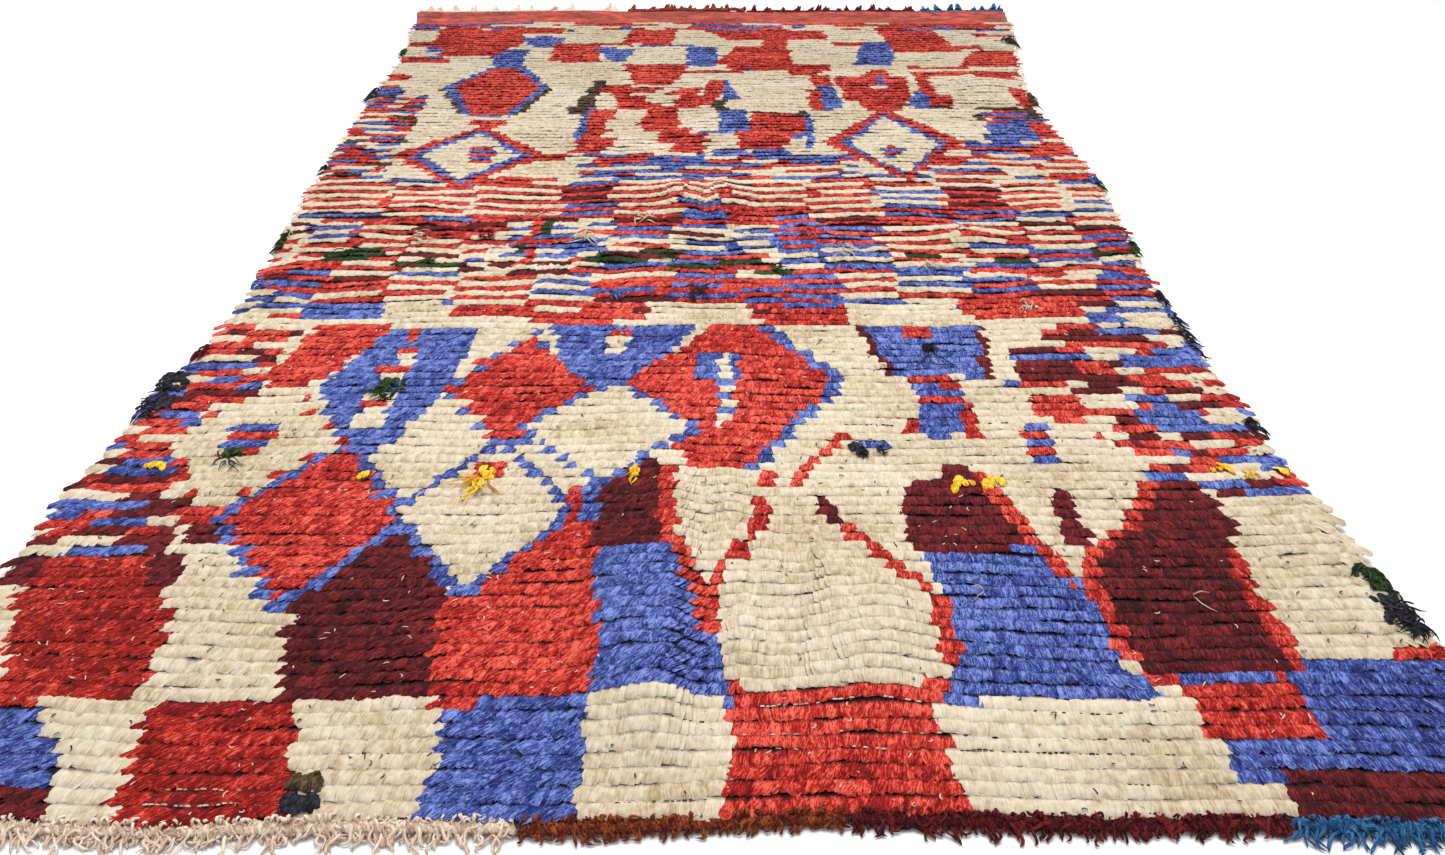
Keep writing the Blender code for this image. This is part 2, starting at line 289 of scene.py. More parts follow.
DETAILS = (
    # as BLOCKS, painted over the lozenges
    (
        "blue",
        (610, 630, -705, -645), (610, 632, 215, 275), (640, 660, 305, 365), (650, 670, -700, -645),
        (660, 684, 312, 385), (684, 704, 325, 395), (795, 870, -20, 55), (1690, 1710, 410, 440),
        (1730, 1750, 400, 455), (2170, 2250, 450, 480, 465, 475), (2282, 2300, 105, 125),
    ),
    (
        "brown",
        (1925, 1965, 660, 690), (1960, 1985, 230, 250), (1960, 2020, -350, -300), (2000, 2020, 580, 620),
        (2000, 2060, 20, 50), (2000, 2060, 830, 950), (2020, 2100, -330, -285), (2025, 2045, 490, 530),
        (2100, 2160, -310, -280), (2160, 2210, -300, -265),
    ),
    (
        "cream",
        (665, 760, -528, -482), (785, 815, -520, -480), (800, 862, 18, 40), (838, 876, -500, -475),
        (875, 930, -160, -130), (2148, 2168, 440, 480),
    ),
    (
        "coral",
        (545, 575, -330, -285), (590, 610, -700, -645), (630, 650, -700, -640), (714, 736, -528, -488),
        (815, 835, -525, -478), (876, 896, -508, -468), (918, 940, -500, -482), (925, 955, 335, 380),
        (930, 950, -155, -130), (1180, 1380, -350, -330), (1710, 1730, 405, 450), (1750, 1770, 420, 440),
    ),
    (
        "dark",
        (1522, 1540, 50, 130),
    ),
    (
        "green",
        (1142, 1160, 90, 170), (1160, 1180, -70, 10), (1162, 1180, -540, -460), (1180, 1198, -590, -520),
        (1180, 1200, -190, -110), (1180, 1200, 30, 110), (1180, 1200, 550, 620), (1200, 1218, -245, -170),
        (1200, 1218, 370, 450), (1200, 1220, -735, -650), (1218, 1238, -120, -40), (1220, 1240, -690, -610),
        (1220, 1240, 750, 800), (1230, 1270, -375, -355), (1300, 1350, -325, -305),
    ),
)

STACKS = (
    # left and right u, two yarns that take turns, then the v of each change
    (18, 40, "cream", "blue", 672, 692, 712, 732, 752, 772, 792),
    (325, 400, "blue", "coral", 704, 728, 752, 776, 798),
    (470, 515, "blue", "coral", 576, 594, 612, 630, 650, 670),
    (-545, -490, "coral", "blue", 1655, 1675, 1695, 1715, 1735, 1755),
)

CHAIN_HALF_WIDTH = 11.2
CHAINS = (
    # yarn, then the line's points as u, v
    ("coral", (8, 262), (-2, 310), (-20, 350), (-45, 410)),
    ("blue", (-160, 450), (-155, 530)),
    ("coral", (-45, 410), (-55, 555), (-56, 575)),
    ("coral", (5, 265), (6, 340), (30, 378), (60, 420), (75, 455), (70, 505)),
    ("coral", (85, 535), (90, 565)),
    ("burgundy", (178, 455), (150, 515)),
    ("coral", (295, 300), (270, 330), (238, 360), (205, 405), (180, 455)),
    ("coral", (128, 525), (132, 565), (165, 595), (210, 655)),
    ("coral", (455, 340), (445, 385), (430, 420), (415, 480), (395, 510), (385, 560)),
    ("coral", (484, 345), (496, 385), (532, 425), (575, 465), (600, 500), (618, 535)),
    ("coral", (640, 595), (610, 620), (590, 645)),
    ("blue", (65, 570), (140, 680), (220, 790), (160, 870), (100, 955)),
    ("blue", (240, 1745), (250, 1860), (260, 1970)),
    ("coral", (300, 640), (320, 680)),
    ("coral", (395, 640), (405, 720)),
    ("coral", (-640, 765), (-590, 955)),
)


# Shapes shared with the solids


def edge_x(y, column):
    """One long edge's x at each y, on a smooth curve through the stations."""
    at = EDGE_STATIONS[:, 0]
    x = EDGE_STATIONS[:, column]
    slope = np.empty(len(x))
    slope[1:-1] = (x[2:] - x[:-2]) / (at[2:] - at[:-2])
    slope[0] = (x[1] - x[0]) / (at[1] - at[0])
    slope[-1] = (x[-1] - x[-2]) / (at[-1] - at[-2])
    y = np.clip(y, at[0], at[-1])
    start = np.clip(np.searchsorted(at, y, side="right") - 1, 0, len(at) - 2)
    span = at[start + 1] - at[start]
    t = (y - at[start]) / span
    return (
        x[start] * (2 * t**3 - 3 * t**2 + 1)
        + slope[start] * span * (t**3 - 2 * t**2 + t)
        + x[start + 1] * (3 * t**2 - 2 * t**3)
        + slope[start + 1] * span * (t**3 - t**2)
    )


def hump(distance, half):
    """1 where distance is 0, falling smoothly to 0 at half."""
    share = np.clip(np.abs(distance) / half, 0.0, 1.0)
    return np.cos(share * math.pi / 2) ** 2


def patches(x, y, size_x, size_y, seed):
    """A smooth random field from -1 to 1, in patches of about size_x by size_y."""
    lattice = np.random.default_rng(seed).uniform(-1.0, 1.0, (256, 256))
    a = np.asarray(x) / size_x + 64
    b = np.asarray(y) / size_y + 96
    i = np.floor(a).astype(int)
    j = np.floor(b).astype(int)
    s = (a - i) ** 2 * (3 - 2 * (a - i))
    t = (b - j) ** 2 * (3 - 2 * (b - j))
    low = lattice[i % 256, j % 256] * (1 - s) + lattice[(i + 1) % 256, j % 256] * s
    high = lattice[i % 256, (j + 1) % 256] * (1 - s) + lattice[(i + 1) % 256, (j + 1) % 256] * s
    return low * (1 - t) + high * t


def lift(x, y):
    """How far the rug stands off the floor."""
    raised = sum(
        height * hump(x - at_x, half_x) * hump(y - at_y, half_y)
        for at_x, at_y, half_x, half_y, height in RIDGES + FOLDS
    )
    return raised * (1 - CREASE_DEPTH * hump(x - CREASE_X, CREASE_HALF_WIDTH))


def row_line_y(x, along):
    """The y of a row line at x, where along runs from 0 at the pile's front to 1 at its end."""
    sway = sum(
        size * np.sin(across * x + lengthwise * along + phase)
        for size, across, lengthwise, phase in SWAYS
    )
    waver = np.interp(along, WAVER_ALONG, WAVER_SIZE)
    sway = sway + waver * patches(x, along * PILE_LENGTH, 0.1, 0.07, 18)
    return PILE_FRONT_Y + along * PILE_LENGTH + sway


def cloth_point(share, along, past):
    """A point of the cloth from above, at a share of its width. past is the distance past along."""
    straight_y = PILE_FRONT_Y + along * PILE_LENGTH + past
    x = edge_x(straight_y, LEFT) * (1 - share) + edge_x(straight_y, RIGHT) * share
    y = row_line_y(x, along) + past
    return edge_x(y, LEFT) * (1 - share) + edge_x(y, RIGHT) * share, y


# The pattern


def pattern_place(x, y):
    """The tables' u and v of a point on the rug."""
    u = (x + PATTERN_U) * PATTERN_SPREAD
    v = (y + PATTERN_V + PATTERN_FOOT) * PATTERN_SPREAD - PATTERN_FOOT
    return 1000 * u, 1000 * v


def table_place(u, v):
    """The rug's x and y at a table's u and v."""
    x = u / 1000 / PATTERN_SPREAD - PATTERN_U
    y = (v / 1000 + PATTERN_FOOT) / PATTERN_SPREAD - PATTERN_FOOT - PATTERN_V
    return x, y


def paint_block(codes, u, v, yarn, v_from, v_to, left, right, left_to=None, right_to=None):
    """A block with straight sides, upright unless left_to and right_to are given."""
    share = (v - v_from) / (v_to - v_from)
    low = left + (0 if left_to is None else (left_to - left) * share)
    high = right + (0 if right_to is None else (right_to - right) * share)
    codes[(share >= 0) & (share < 1) & (u >= low) & (u < high)] = YARN_CODE[yarn]


def paint_blocks(codes, u, v, table):
    """All blocks of a table, one after another."""
    for yarn, *blocks in table:
        for block in blocks:
            paint_block(codes, u, v, yarn, *block)


def paint_lozenge(codes, u, v, row, yarn, at_u, at_v, half_u, half_v, outline, every):
    """A lozenge, with an outline where it has a yarn."""
    reach = 1 - np.abs(v - at_v) / half_v
    side = np.abs(u - at_u)
    if outline:
        rim = side < np.maximum(reach, 0) * half_u + LOZENGE_RIM
        codes[rim & (reach > -LOZENGE_TIP) & (row % every == 0)] = YARN_CODE[outline]
    codes[(side < reach * half_u) & (reach > 0)] = YARN_CODE[yarn]


def paint_stack(codes, u, v, left, right, first, second, *changes):
    """Bars one behind another, in two yarns that take turns."""
    for bar, (v_from, v_to) in enumerate(zip(changes, changes[1:])):
        paint_block(codes, u, v, (first, second)[bar % 2], v_from, v_to, left, right)


def paint_chain(codes, u, v, yarn, *points):
    """A line about two knots wide through the points."""
    points = sorted(points, key=lambda point: point[1])
    at_v = np.array([point[1] for point in points])
    at_u = np.array([point[0] for point in points])
    near = np.abs(u - np.interp(v, at_v, at_u)) < CHAIN_HALF_WIDTH
    codes[near & (v >= at_v[0]) & (v < at_v[-1])] = YARN_CODE[yarn]


def paint_stripes(codes, u, v, row, zone, seed):
    """Rows broken into runs of one yarn each, which seldom repeat beside or behind one another."""
    u_from, u_to, v_from, v_to, run, shares = zone
    draws = np.random.default_rng(seed)
    names = list(shares)
    weights = np.array([shares[name] for name in names], float)
    before = []
    for at_row in range(PILE_ROWS):
        in_row = (row == at_row) & (v >= v_from) & (v < v_to)
        if not in_row.any():
            continue
        start = u_from + draws.uniform(-RUN_START_STRAY, RUN_START_STRAY)
        runs = []
        while start < u_to:
            stop = start + run * draws.uniform(*RUN_SHARES)
            middle = (start + stop) / 2
            chances = weights.copy()
            if runs:
                chances[names.index(runs[-1][2])] *= BESIDE_ITS_OWN
            for low, high, yarn in before:
                if low <= middle < high:
                    chances[names.index(yarn)] *= BEHIND_ITS_OWN
            runs.append((start, stop, names[draws.choice(len(names), p=chances / chances.sum())]))
            start = stop
        for start, stop, yarn in runs:
            stop = min(stop, u_to + draws.uniform(-RUN_END_STRAY, RUN_END_STRAY))
            codes[in_row & (u >= start) & (u < stop)] = YARN_CODE[yarn]
        before = runs


def paint_bricks(codes, u, v, row, zone, seed):
    """Between each two upright lines, the rows take turns with two yarns until the pair changes."""
    v_from, v_to, lines, rows_alike, pairs = zone
    draws = np.random.default_rng(seed)
    names = list(pairs)
    chances = np.array([pairs[pair] for pair in names], float)
    chances /= chances.sum()
    ends = np.array(lines) + draws.normal(0, BRICK_STRAY, (PILE_ROWS, len(lines)))
    inside = (v >= v_from) & (v < v_to)
    for column in range(len(lines) - 1):
        left = draws.integers(*rows_alike)
        pair = names[draws.choice(len(names), p=chances)]
        for at_row in range(PILE_ROWS):
            left -= 1
            if left <= 0:
                left = draws.integers(*rows_alike)
                pair = names[draws.choice(len(names), p=chances)]
            here = inside & (row == at_row) & (u >= ends[at_row, column]) & (u < ends[at_row, column + 1])
            codes[here] = YARN_CODE[pair[(at_row + column) % 2]]


def draw_pattern(x, y, row):
    """The yarn code of each knot."""
    u, v = pattern_place(x, y)
    u = u + WANDER * patches(u, row * 7.3, WANDER_PATCH, 1.0, 3)
    codes = np.full(x.shape, YARN_CODE["cream"])
    for seed, zone in enumerate(STRIPE_ZONES):
        paint_stripes(codes, u, v, row, zone, STRIPE_SEED + seed)
    for seed, zone in enumerate(BRICK_ZONES):
        paint_bricks(codes, u, v, row, zone, BRICK_SEED + seed)
    paint_blocks(codes, u, v, BLOCKS)
    for lozenge in LOZENGES:
        paint_lozenge(codes, u, v, row, *lozenge)
    paint_blocks(codes, u, v, DETAILS)
    for stack in STACKS:
        paint_stack(codes, u, v, *stack)
    for chain in CHAINS:
        paint_chain(codes, u, v, *chain)
    return codes


# Meshes of many strands. A section gives the angles of a ring's corners, from the right side over the top.
TONGUE_SECTION = np.radians((15.0, 90.0, 165.0, 270.0))
ROUND_SECTION = np.radians((0.0, 90.0, 180.0, 270.0))
ROPE_SECTION = np.radians((18.0, 90.0, 162.0, 234.0, 306.0))
# The most that a strand's rings are turned, and the spread of the strands' places in the fibres' noise
RING_TURN = 0.2
FIBRE_SPREAD = 3.0
# How much of a strand's whole direction counts where it is too steep to have a side
WHOLE_SHARE = 0.02
CRISP_ANGLE = math.radians(72)
# Radians of twist in each metre of a yarn, as its fibres show it
LOCK_TWIST = 60.0
PAD_TWIST = 110.0
THIN_LOCK_TWIST = 150.0
YARN_TWIST = 160.0
ROPE_TWIST = 200.0

rng = np.random.default_rng(21)


class Heap:
    """Strands gathered as arrays, to be one piece whose strands are all closed."""

    def __init__(self):
        self.points = []
        self.triangles = []
        self.quads = []
        self.yarn = []
        self.tone_and_painted_shade = []
        self.count = 0

    def add(self, paths, half_widths, half_heights, section, tone, twist=0.0, painted_far_shade=None, root=0.0):
        """paths is (strands, points, 3). A path's ends are pointed, with a ring at each point between."""
        strands, stops, _ = paths.shape
        sides = len(section)
        rings = stops - 2
        tangent = paths[:, 2:] - paths[:, :-2]
        whole = paths[:, -1:] - paths[:, :1]
        side = np.zeros_like(tangent)
        side[..., 0] = tangent[..., 1] + WHOLE_SHARE * whole[..., 1]
        side[..., 1] = -tangent[..., 0] - WHOLE_SHARE * whole[..., 0]
        side /= np.linalg.norm(side, axis=-1, keepdims=True) + 1e-9
        tangent /= np.linalg.norm(tangent, axis=-1, keepdims=True) + 1e-9
        up = np.cross(side, tangent)
        step = np.linalg.norm(np.diff(paths, axis=1), axis=-1)
        run = np.concatenate([np.zeros((strands, 1)), np.cumsum(step, axis=1)], axis=1)
        turn = rng.uniform(-RING_TURN, RING_TURN, (strands, 1, 1))
        angle = section[None, None, :] + turn
        cosine = np.broadcast_to(np.cos(angle), (strands, rings, sides))[..., None]
        sine = np.broadcast_to(np.sin(angle), (strands, rings, sides))[..., None]
        wide = half_widths[..., None, None]
        high = half_heights[..., None, None]
        ring = paths[:, 1:-1, None] + side[:, :, None] * cosine * wide + up[:, :, None] * sine * high
        points = np.concatenate([paths[:, :1], ring.reshape(strands, -1, 3), paths[:, -1:]], axis=1)

        # Where each corner is on the straight strand, for its fibres
        spun = angle + twist * run[:, 1:-1, None]
        around = np.cos(spun) * half_widths[..., None]
        above = np.sin(spun) * half_widths[..., None]
        local = np.stack(np.broadcast_arrays(around, above, run[:, 1:-1, None]), axis=-1)
        ends = np.zeros((strands, 2, 3))
        ends[:, 1, 2] = run[:, -1]
        local = np.concatenate([ends[:, :1], local.reshape(strands, -1, 3), ends[:, 1:]], axis=1)
        local += rng.uniform(0.0, FIBRE_SPREAD, (strands, 1, 3))

        # Tone, share of the way from root to tip that the painted root shade follows, and the painted shade
        # towards the far end
        share = np.repeat(run[:, 1:-1] / run[:, -1:], sides, axis=1)
        share = np.concatenate([np.zeros((strands, 1)), share, np.ones((strands, 1))], axis=1)
        # root moves a strand's start along the painted root shade, so that a larger root paints less shade
        # at its start
        share = root + (1 - root) * share
        painted_far_shade = np.ones(strands) if painted_far_shade is None else painted_far_shade
        tone_and_painted_shade = np.stack(np.broadcast_arrays(tone[:, None], share, painted_far_shade[:, None]), axis=-1)

        here = np.arange(sides)
        after = (here + 1) % sides
        last = 1 + rings * sides
        root_fan = np.stack([np.zeros(sides, int), 1 + here, 1 + after], axis=1)
        tip_fan = np.stack([np.full(sides, last), last - sides + after, last - sides + here], axis=1)
        fans = np.concatenate([root_fan, tip_fan])
        band = 1 + np.stack([here, here + sides, after + sides, after], axis=1)
        bands = np.concatenate([level * sides + band for level in range(rings - 1)])
        base = self.count + np.arange(strands)[:, None, None] * (last + 1)
        self.triangles.append((base + fans[None]).reshape(-1, 3))
        self.quads.append((base + bands[None]).reshape(-1, 4))
        self.points.append(points.reshape(-1, 3))
        self.yarn.append(local.reshape(-1, 3))
        self.tone_and_painted_shade.append(tone_and_painted_shade.reshape(-1, 3))
        self.count += strands * (last + 1)

    def add_yarns(self, paths, thick, tone, root=0.0):
        """Round yarns, as thick as they are wide."""
        self.add(paths, thick, thick, ROUND_SECTION, tone, YARN_TWIST, None, root)

    def make_piece(self, name, material, slot, crisp=False):
        """One piece of all the strands, with their places, tones and painted shade as attributes."""
        faces = [np.concatenate(self.triangles), np.concatenate(self.quads)]
        piece = mesh_piece(name, np.concatenate(self.points), faces, material)
        if crisp:
            piece.data.set_sharp_from_angle(angle=CRISP_ANGLE)
        for attribute, values in (("yarn", self.yarn), ("tone_and_painted_shade", self.tone_and_painted_shade)):
            layer = piece.data.attributes.new(attribute, "FLOAT_VECTOR", "POINT")
            layer.data.foreach_set("vector", np.concatenate(values).astype(np.float32).ravel())
        return piece


def mesh_piece(name, points, face_groups, material):
    """A piece that rides on the rug, from its points and its faces grouped by their number of corners."""
    mesh = bpy.data.meshes.new(name)
    corners = np.concatenate([group.ravel() for group in face_groups])
    sizes = np.concatenate([np.full(len(group), group.shape[1]) for group in face_groups])
    mesh.vertices.add(len(points))
    mesh.vertices.foreach_set("co", points.astype(np.float32).ravel())
    mesh.loops.add(len(corners))
    mesh.loops.foreach_set("vertex_index", corners.astype(np.int32))
    mesh.polygons.add(len(sizes))
    mesh.polygons.foreach_set("loop_start", (np.cumsum(sizes) - sizes).astype(np.int32))
    mesh.update(calc_edges=True)
    mesh.shade_smooth()
    mesh.materials.append(material)
    piece = bpy.data.objects.new(name, mesh)
    bpy.context.scene.collection.objects.link(piece)
    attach(piece, "root")
    return piece


# Materials

MOTTLE_SCALE = 120.0
FIBRE_SCALE = (520.0, 520.0, 42.0)
PICK_SCALE = (34.0, 62.0, 100.0)
WARP_SCALE = 62.0
# The share of a lock's length over which it is painted darker towards its root: painted shade for the seam
# under the tips of the row behind
ROOT_SHADE_WIDTH = 0.17


def linear(colour):
    """A colour given as it looks, from 0 to 255, turned into the light it stands for."""
    parts = [part / 255 for part in colour]
    return tuple(part / 12.92 if part <= 0.04045 else ((part + 0.055) / 1.055) ** 2.4 for part in parts)


def fill_inputs(tree, node, inputs):
    """Links each input that is given as a socket, and sets the others."""
    for name, value in inputs.items():
        if isinstance(value, bpy.types.NodeSocket):
            tree.links.new(value, node.inputs[name])
        else:
            node.inputs[name].default_value = value


def add_node(tree, kind, inputs, output):
    """Adds a node and gives its output."""
    node = tree.nodes.new("ShaderNode" + kind)
    fill_inputs(tree, node, inputs)
    return node.outputs[output]


def calculate(tree, operation, *terms):
    """Adds a step of arithmetic."""
    node = tree.nodes.new("ShaderNodeMath")
    node.operation = operation
    fill_inputs(tree, node, dict(enumerate(terms)))
    return node.outputs["Value"]


def read_attribute(tree, name, output):
    """Adds a node that reads one of the mesh's attributes."""
    node = tree.nodes.new("ShaderNodeAttribute")
    node.attribute_name = name
    return node.outputs[output]


def remap(tree, value, from_min, from_max, to_min, to_max):
    """Adds a node that turns one range of numbers into another, without going past its ends."""
    ends = {"From Min": from_min, "From Max": from_max, "To Min": to_min, "To Max": to_max}
    return add_node(tree, "MapRange", {"Value": value, **ends}, "Result")


def start_material(name, inputs):
    """A material, its node tree and its shader with these inputs."""
    material = bpy.data.materials.new(name)
    material.use_nodes = True
    tree = material.node_tree
    shader = tree.nodes["Principled BSDF"]
    fill_inputs(tree, shader, inputs)
    return material, tree, shader


def finish_surface(tree, shader, colour, shade, height, strength, distance):
    """Gives the shader its colour, darkened by shade, and its bump."""
    darkened = tree.nodes.new("ShaderNodeVectorMath")
    darkened.operation = "SCALE"
    fill_inputs(tree, darkened, {0: colour, "Scale": shade})
    bump = {"Strength": strength, "Distance": distance, "Height": height}
    normal = add_node(tree, "Bump", bump, "Normal")
    fill_inputs(tree, shader, {"Base Color": darkened.outputs["Vector"], "Normal": normal})


def yarn_material(name, deep, plain, pale, mottle=0.6, fibre=1.5, root_shade=0.03, sheen=0.04, shade_end=0.48):
    """Dyed yarn: tone by lock, soft mottling, fibres that run along each strand, and painted shade towards
    each lock's root and the far end.
    """
    finish = {"Roughness": 0.85, "Sheen Weight": sheen, "Sheen Roughness": 0.5, "Specular IOR Level": 0.18}
    material, tree, shader = start_material(name, finish)
    place = add_node(tree, "TexCoord", {}, "Object")
    patch = add_node(tree, "TexNoise", {"Vector": place, "Scale": MOTTLE_SCALE, "Detail": 3.0}, "Fac")
    yarn = read_attribute(tree, "yarn", "Vector")
    stretch = add_node(tree, "Mapping", {"Vector": yarn, "Scale": FIBRE_SCALE}, "Vector")
    hairs = add_node(tree, "TexNoise", {"Vector": stretch, "Scale": 1.0, "Detail": 3.0}, "Fac")
    tone_and_painted_shade = tree.nodes.new("ShaderNodeSeparateXYZ")
    fill_inputs(tree, tone_and_painted_shade, {"Vector": read_attribute(tree, "tone_and_painted_shade", "Vector")})

    mottling = calculate(tree, "MULTIPLY_ADD", patch, 2 * mottle, -mottle)
    fibres = calculate(tree, "MULTIPLY_ADD", hairs, 2 * fibre, -fibre)
    mix = calculate(tree, "ADD", calculate(tree, "ADD", mottling, fibres), tone_and_painted_shade.outputs["X"])
    ramp = tree.nodes.new("ShaderNodeValToRGB")
    ramp.color_ramp.elements.new(0.5)
    for element, colour in zip(ramp.color_ramp.elements, (deep, plain, pale)):
        element.color = (*linear(colour), 1.0)
    fill_inputs(tree, ramp, {"Fac": mix})
    # Painted shade: each lock darkens towards its root, in the seam under the row behind, and the
    # attribute's Z darkens it towards the far end
    root = remap(tree, tone_and_painted_shade.outputs["Y"], shade_end - ROOT_SHADE_WIDTH, shade_end, root_shade, 1.0)
    shade = calculate(tree, "MULTIPLY", root, tone_and_painted_shade.outputs["Z"])
    finish_surface(tree, shader, ramp.outputs["Color"], shade, hairs, 0.55, 0.003)
    return material


def cloth_material():
    """Flat weave: fine picks across the rug over close warps."""
    finish = {"Roughness": 0.9, "Sheen Weight": 0.2, "Specular IOR Level": 0.2}
    material, tree, shader = start_material("flat_weave", finish)
    place = add_node(tree, "TexCoord", {}, "Object")
    stretch = add_node(tree, "Mapping", {"Vector": place, "Scale": PICK_SCALE}, "Vector")
    noise = {"Vector": stretch, "Scale": 1.0, "Detail": 7.0, "Roughness": 0.62}
    picks = add_node(tree, "TexNoise", noise, "Fac")
    wave = {"Vector": place, "Scale": WARP_SCALE, "Distortion": 1.2, "Detail": 1.0}
    weave = add_node(tree, "TexWave", wave, "Fac")
    shade = remap(tree, picks, 0.36, 0.64, 0.45, 1.65)
    rib = remap(tree, weave, 0.0, 1.0, 0.78, 1.14)
    ribbed = calculate(tree, "MULTIPLY", shade, rib)
    height = calculate(tree, "ADD", picks, weave)
    woven = read_attribute(tree, "woven", "Color")
    finish_surface(tree, shader, woven, ribbed, height, 0.6, 0.0008)
    return material


YARNS = (
    # yarn, slot, material, deep, plain and pale colour, mottling, fibres, painted shade at the root, sheen,
    # where that painted shade ends
    (
        *("cream", "yarn_cream", "cream_wool", (162, 140, 108), (202, 186, 160), (222, 210, 190)),
        *(0.6, 0.7, 0.25, 0.05, 0.39),
    ),
    ("coral", "yarn_coral", "coral_wool", (98, 6, 6), (177, 32, 26), (228, 100, 82)),
    ("blue", "pile_blue", "blue_wool", (20, 28, 88), (63, 79, 148), (122, 140, 206)),
    ("burgundy", "yarn_burgundy", "burgundy_wool", (34, 2, 5), (79, 10, 14), (126, 36, 38)),
    ("green", "pile_green", "green_wool", (12, 22, 8), (30, 48, 20), (62, 88, 40)),
    ("dark", "pile_dark", "dark_wool", (10, 10, 12), (26, 25, 29), (58, 56, 74)),
    ("brown", "pile_brown", "brown_wool", (32, 22, 14), (62, 46, 30), (104, 84, 58)),
    ("yellow", "pile_yellow", "yellow_wool", (190, 130, 10), (232, 186, 36), (248, 220, 96)),
    ("rust", "yarn_rust", "rust_wool", (60, 18, 7), (114, 46, 20), (160, 80, 40)),
    ("steel", "yarn_blue", "steel_blue_wool", (16, 52, 88), (34, 86, 132), (74, 124, 166)),
    (
        *("beige", "yarn_cream", "beige_cotton", (170, 142, 120), (226, 202, 180), (244, 230, 214)),
        *(0.5, 0.9, 0.6, 0.06, 0.3),
    ),
    ("aqua", "weft_cloth", "aqua_cotton", (140, 168, 150), (190, 210, 194), (220, 230, 214), 0.5, 0.8, 0.5),
)
MATERIALS = {yarn: yarn_material(*looks) for yarn, _, *looks in YARNS}
SLOTS = {yarn: slot for yarn, slot, *_ in YARNS}

# The pile

# How a lock lies: distance behind its row's front line, height, share of its width, half thickness
TONGUE_NEAR = np.array(
    (
        (0.0225, 0.008, 0.0, 0.0),
        (0.015, 0.0116, 0.95, 0.0012),
        (0.0065, 0.0136, 1.0, 0.0013),
        (-0.002, 0.0122, 0.95, 0.0012),
        (-0.0038, 0.0108, 0.0, 0.0),
    )
)
TONGUE_FAR = TONGUE_NEAR[[0, 1, 3, 4]]
LOCK_NEAR = np.array(
    (
        (0.0225, 0.006, 0.0, 0.0),
        (0.0145, 0.0104, 0.95, 0.0016),
        (0.006, 0.013, 1.0, 0.0018),
        (-0.0024, 0.0126, 0.9, 0.0016),
        (-0.0046, 0.011, 0.0, 0.0),
    )
)
LOCK_FAR = LOCK_NEAR[[0, 1, 3, 4]]
MIDDLE_OF_LOCK = 0.008
# The length over which a lock's reach counts, and the height from which its added height counts in full
BENT_LENGTH = 0.014
LOCK_HEIGHT = 0.012
# Locks drawn at the knots: the share and spread of the lean, how far they follow the wave, ripple and slow
# wave, the spread of the reach, the added height and its spread, the tone's shift and spread, and the
# narrowest and widest in shares of the distance between knots
CREAM_LOCKS = (0.35, 0.06, 0.002, 0.0012, 0.0012, 0.0008, 0.0, 0.00035, 0.0, 0.06, 1.05, 1.35)
WOOL_LOCKS = (1.0, 0.1, 0.0026, 0.0018, 0.0012, 0.0006, 0.0, 0.0005, 0.0, 0.13, 0.8, 1.15)
THIN_LOCKS = (1.0, 0.15, 0.0026, 0.0018, 0.0, 0.0009, 0.001, 0.0005, 0.06, 0.24, 0.22, 0.4)
# The share of the coloured knots that have a thin second lock, in the rows before THIN_LOCK_ROW and after
THIN_LOCK_ROW = 26
THIN_LOCK_SHARES = (0.62, 0.4)
STRAY_KNOTS = 2
LEANING_KNOTS = 3
END_LEAN = 0.75
DEEPER_PLACES = (
    # yarn, how much deeper, x, half width, y, half length
    ("coral", 0.36, -0.76, 0.26, -1.18, 0.26),
    ("coral", 0.34, -0.52, 0.3, -1.37, 0.28),
    ("blue", 0.3, 0.88, 0.3, -1.3, 0.24),
)


def lay_locks(
    heap, x, y, lean, reach, height, tone, half_width, profile, section, twist=0.0, far_end_shade=0.9, root=0.0
):
    """Adds a lock at each place. reach is how far the tip comes forward of its usual place."""
    reach = reach - np.interp(y, (-0.5, 0.2), (0.0, 0.0024))
    bent = np.clip((BENT_LENGTH - profile[None, :, 0]) / BENT_LENGTH, 0, 1.3)
    back = profile[None, :, 0] - reach[:, None] * bent
    forward = MIDDLE_OF_LOCK - back
    bend = rng.normal(0.0, 0.16, len(x))
    slant = np.tan(np.clip(lean, -0.95, 0.95))[:, None] + bend[:, None] * forward / 0.012
    paths = np.empty((len(x), len(profile), 3))
    paths[..., 0] = x[:, None] + forward * slant
    paths[..., 1] = y[:, None] + back
    paths[..., 2] = profile[None, :, 1] + height[:, None] * np.clip(profile[None, :, 1] / LOCK_HEIGHT, 0, 1)
    paths[..., 2] += lift(paths[..., 0], paths[..., 1])
    widths = half_width[:, None] * profile[None, 1:-1, 2]
    heights = np.broadcast_to(profile[None, 1:-1, 3], widths.shape) * rng.uniform(0.85, 1.15, (len(x), 1))
    # Painted shade: the locks' colour darkens towards the far end, down to the factor given for the far end,
    # in place of the light falling off there
    painted_far_shade = np.interp(y, (-0.6, 1.1), (1.0, far_end_shade))
    heap.add(paths, widths, heights, section, tone, twist, painted_far_shade, root)


def pile_lean(x, y):
    """How far the coloured locks lie to the side, in radians. Negative is to the left."""
    by_x = np.interp(x, (-0.9, -0.12, 0.04, 0.35, 0.9), (-0.7, -0.58, -0.1, 0.18, 0.35))
    by_y = np.interp(y, (-1.1, 0.4), (1.0, 0.45))
    return by_x * by_y + 0.28 * patches(x, y, 0.11, 0.045, 8)


def row_wave(x, row, pace, size, seed):
    """A field that wanders along each row and changes from row to row."""
    return patches(x, row * pace, size, 1.0, seed)


def at_ends(count, left, right):
    """left at the first knots of each row, right at the last, and 0 between."""
    return np.where(knot < count, left, 0.0) + np.where(knot >= KNOTS - count, right, 0.0)


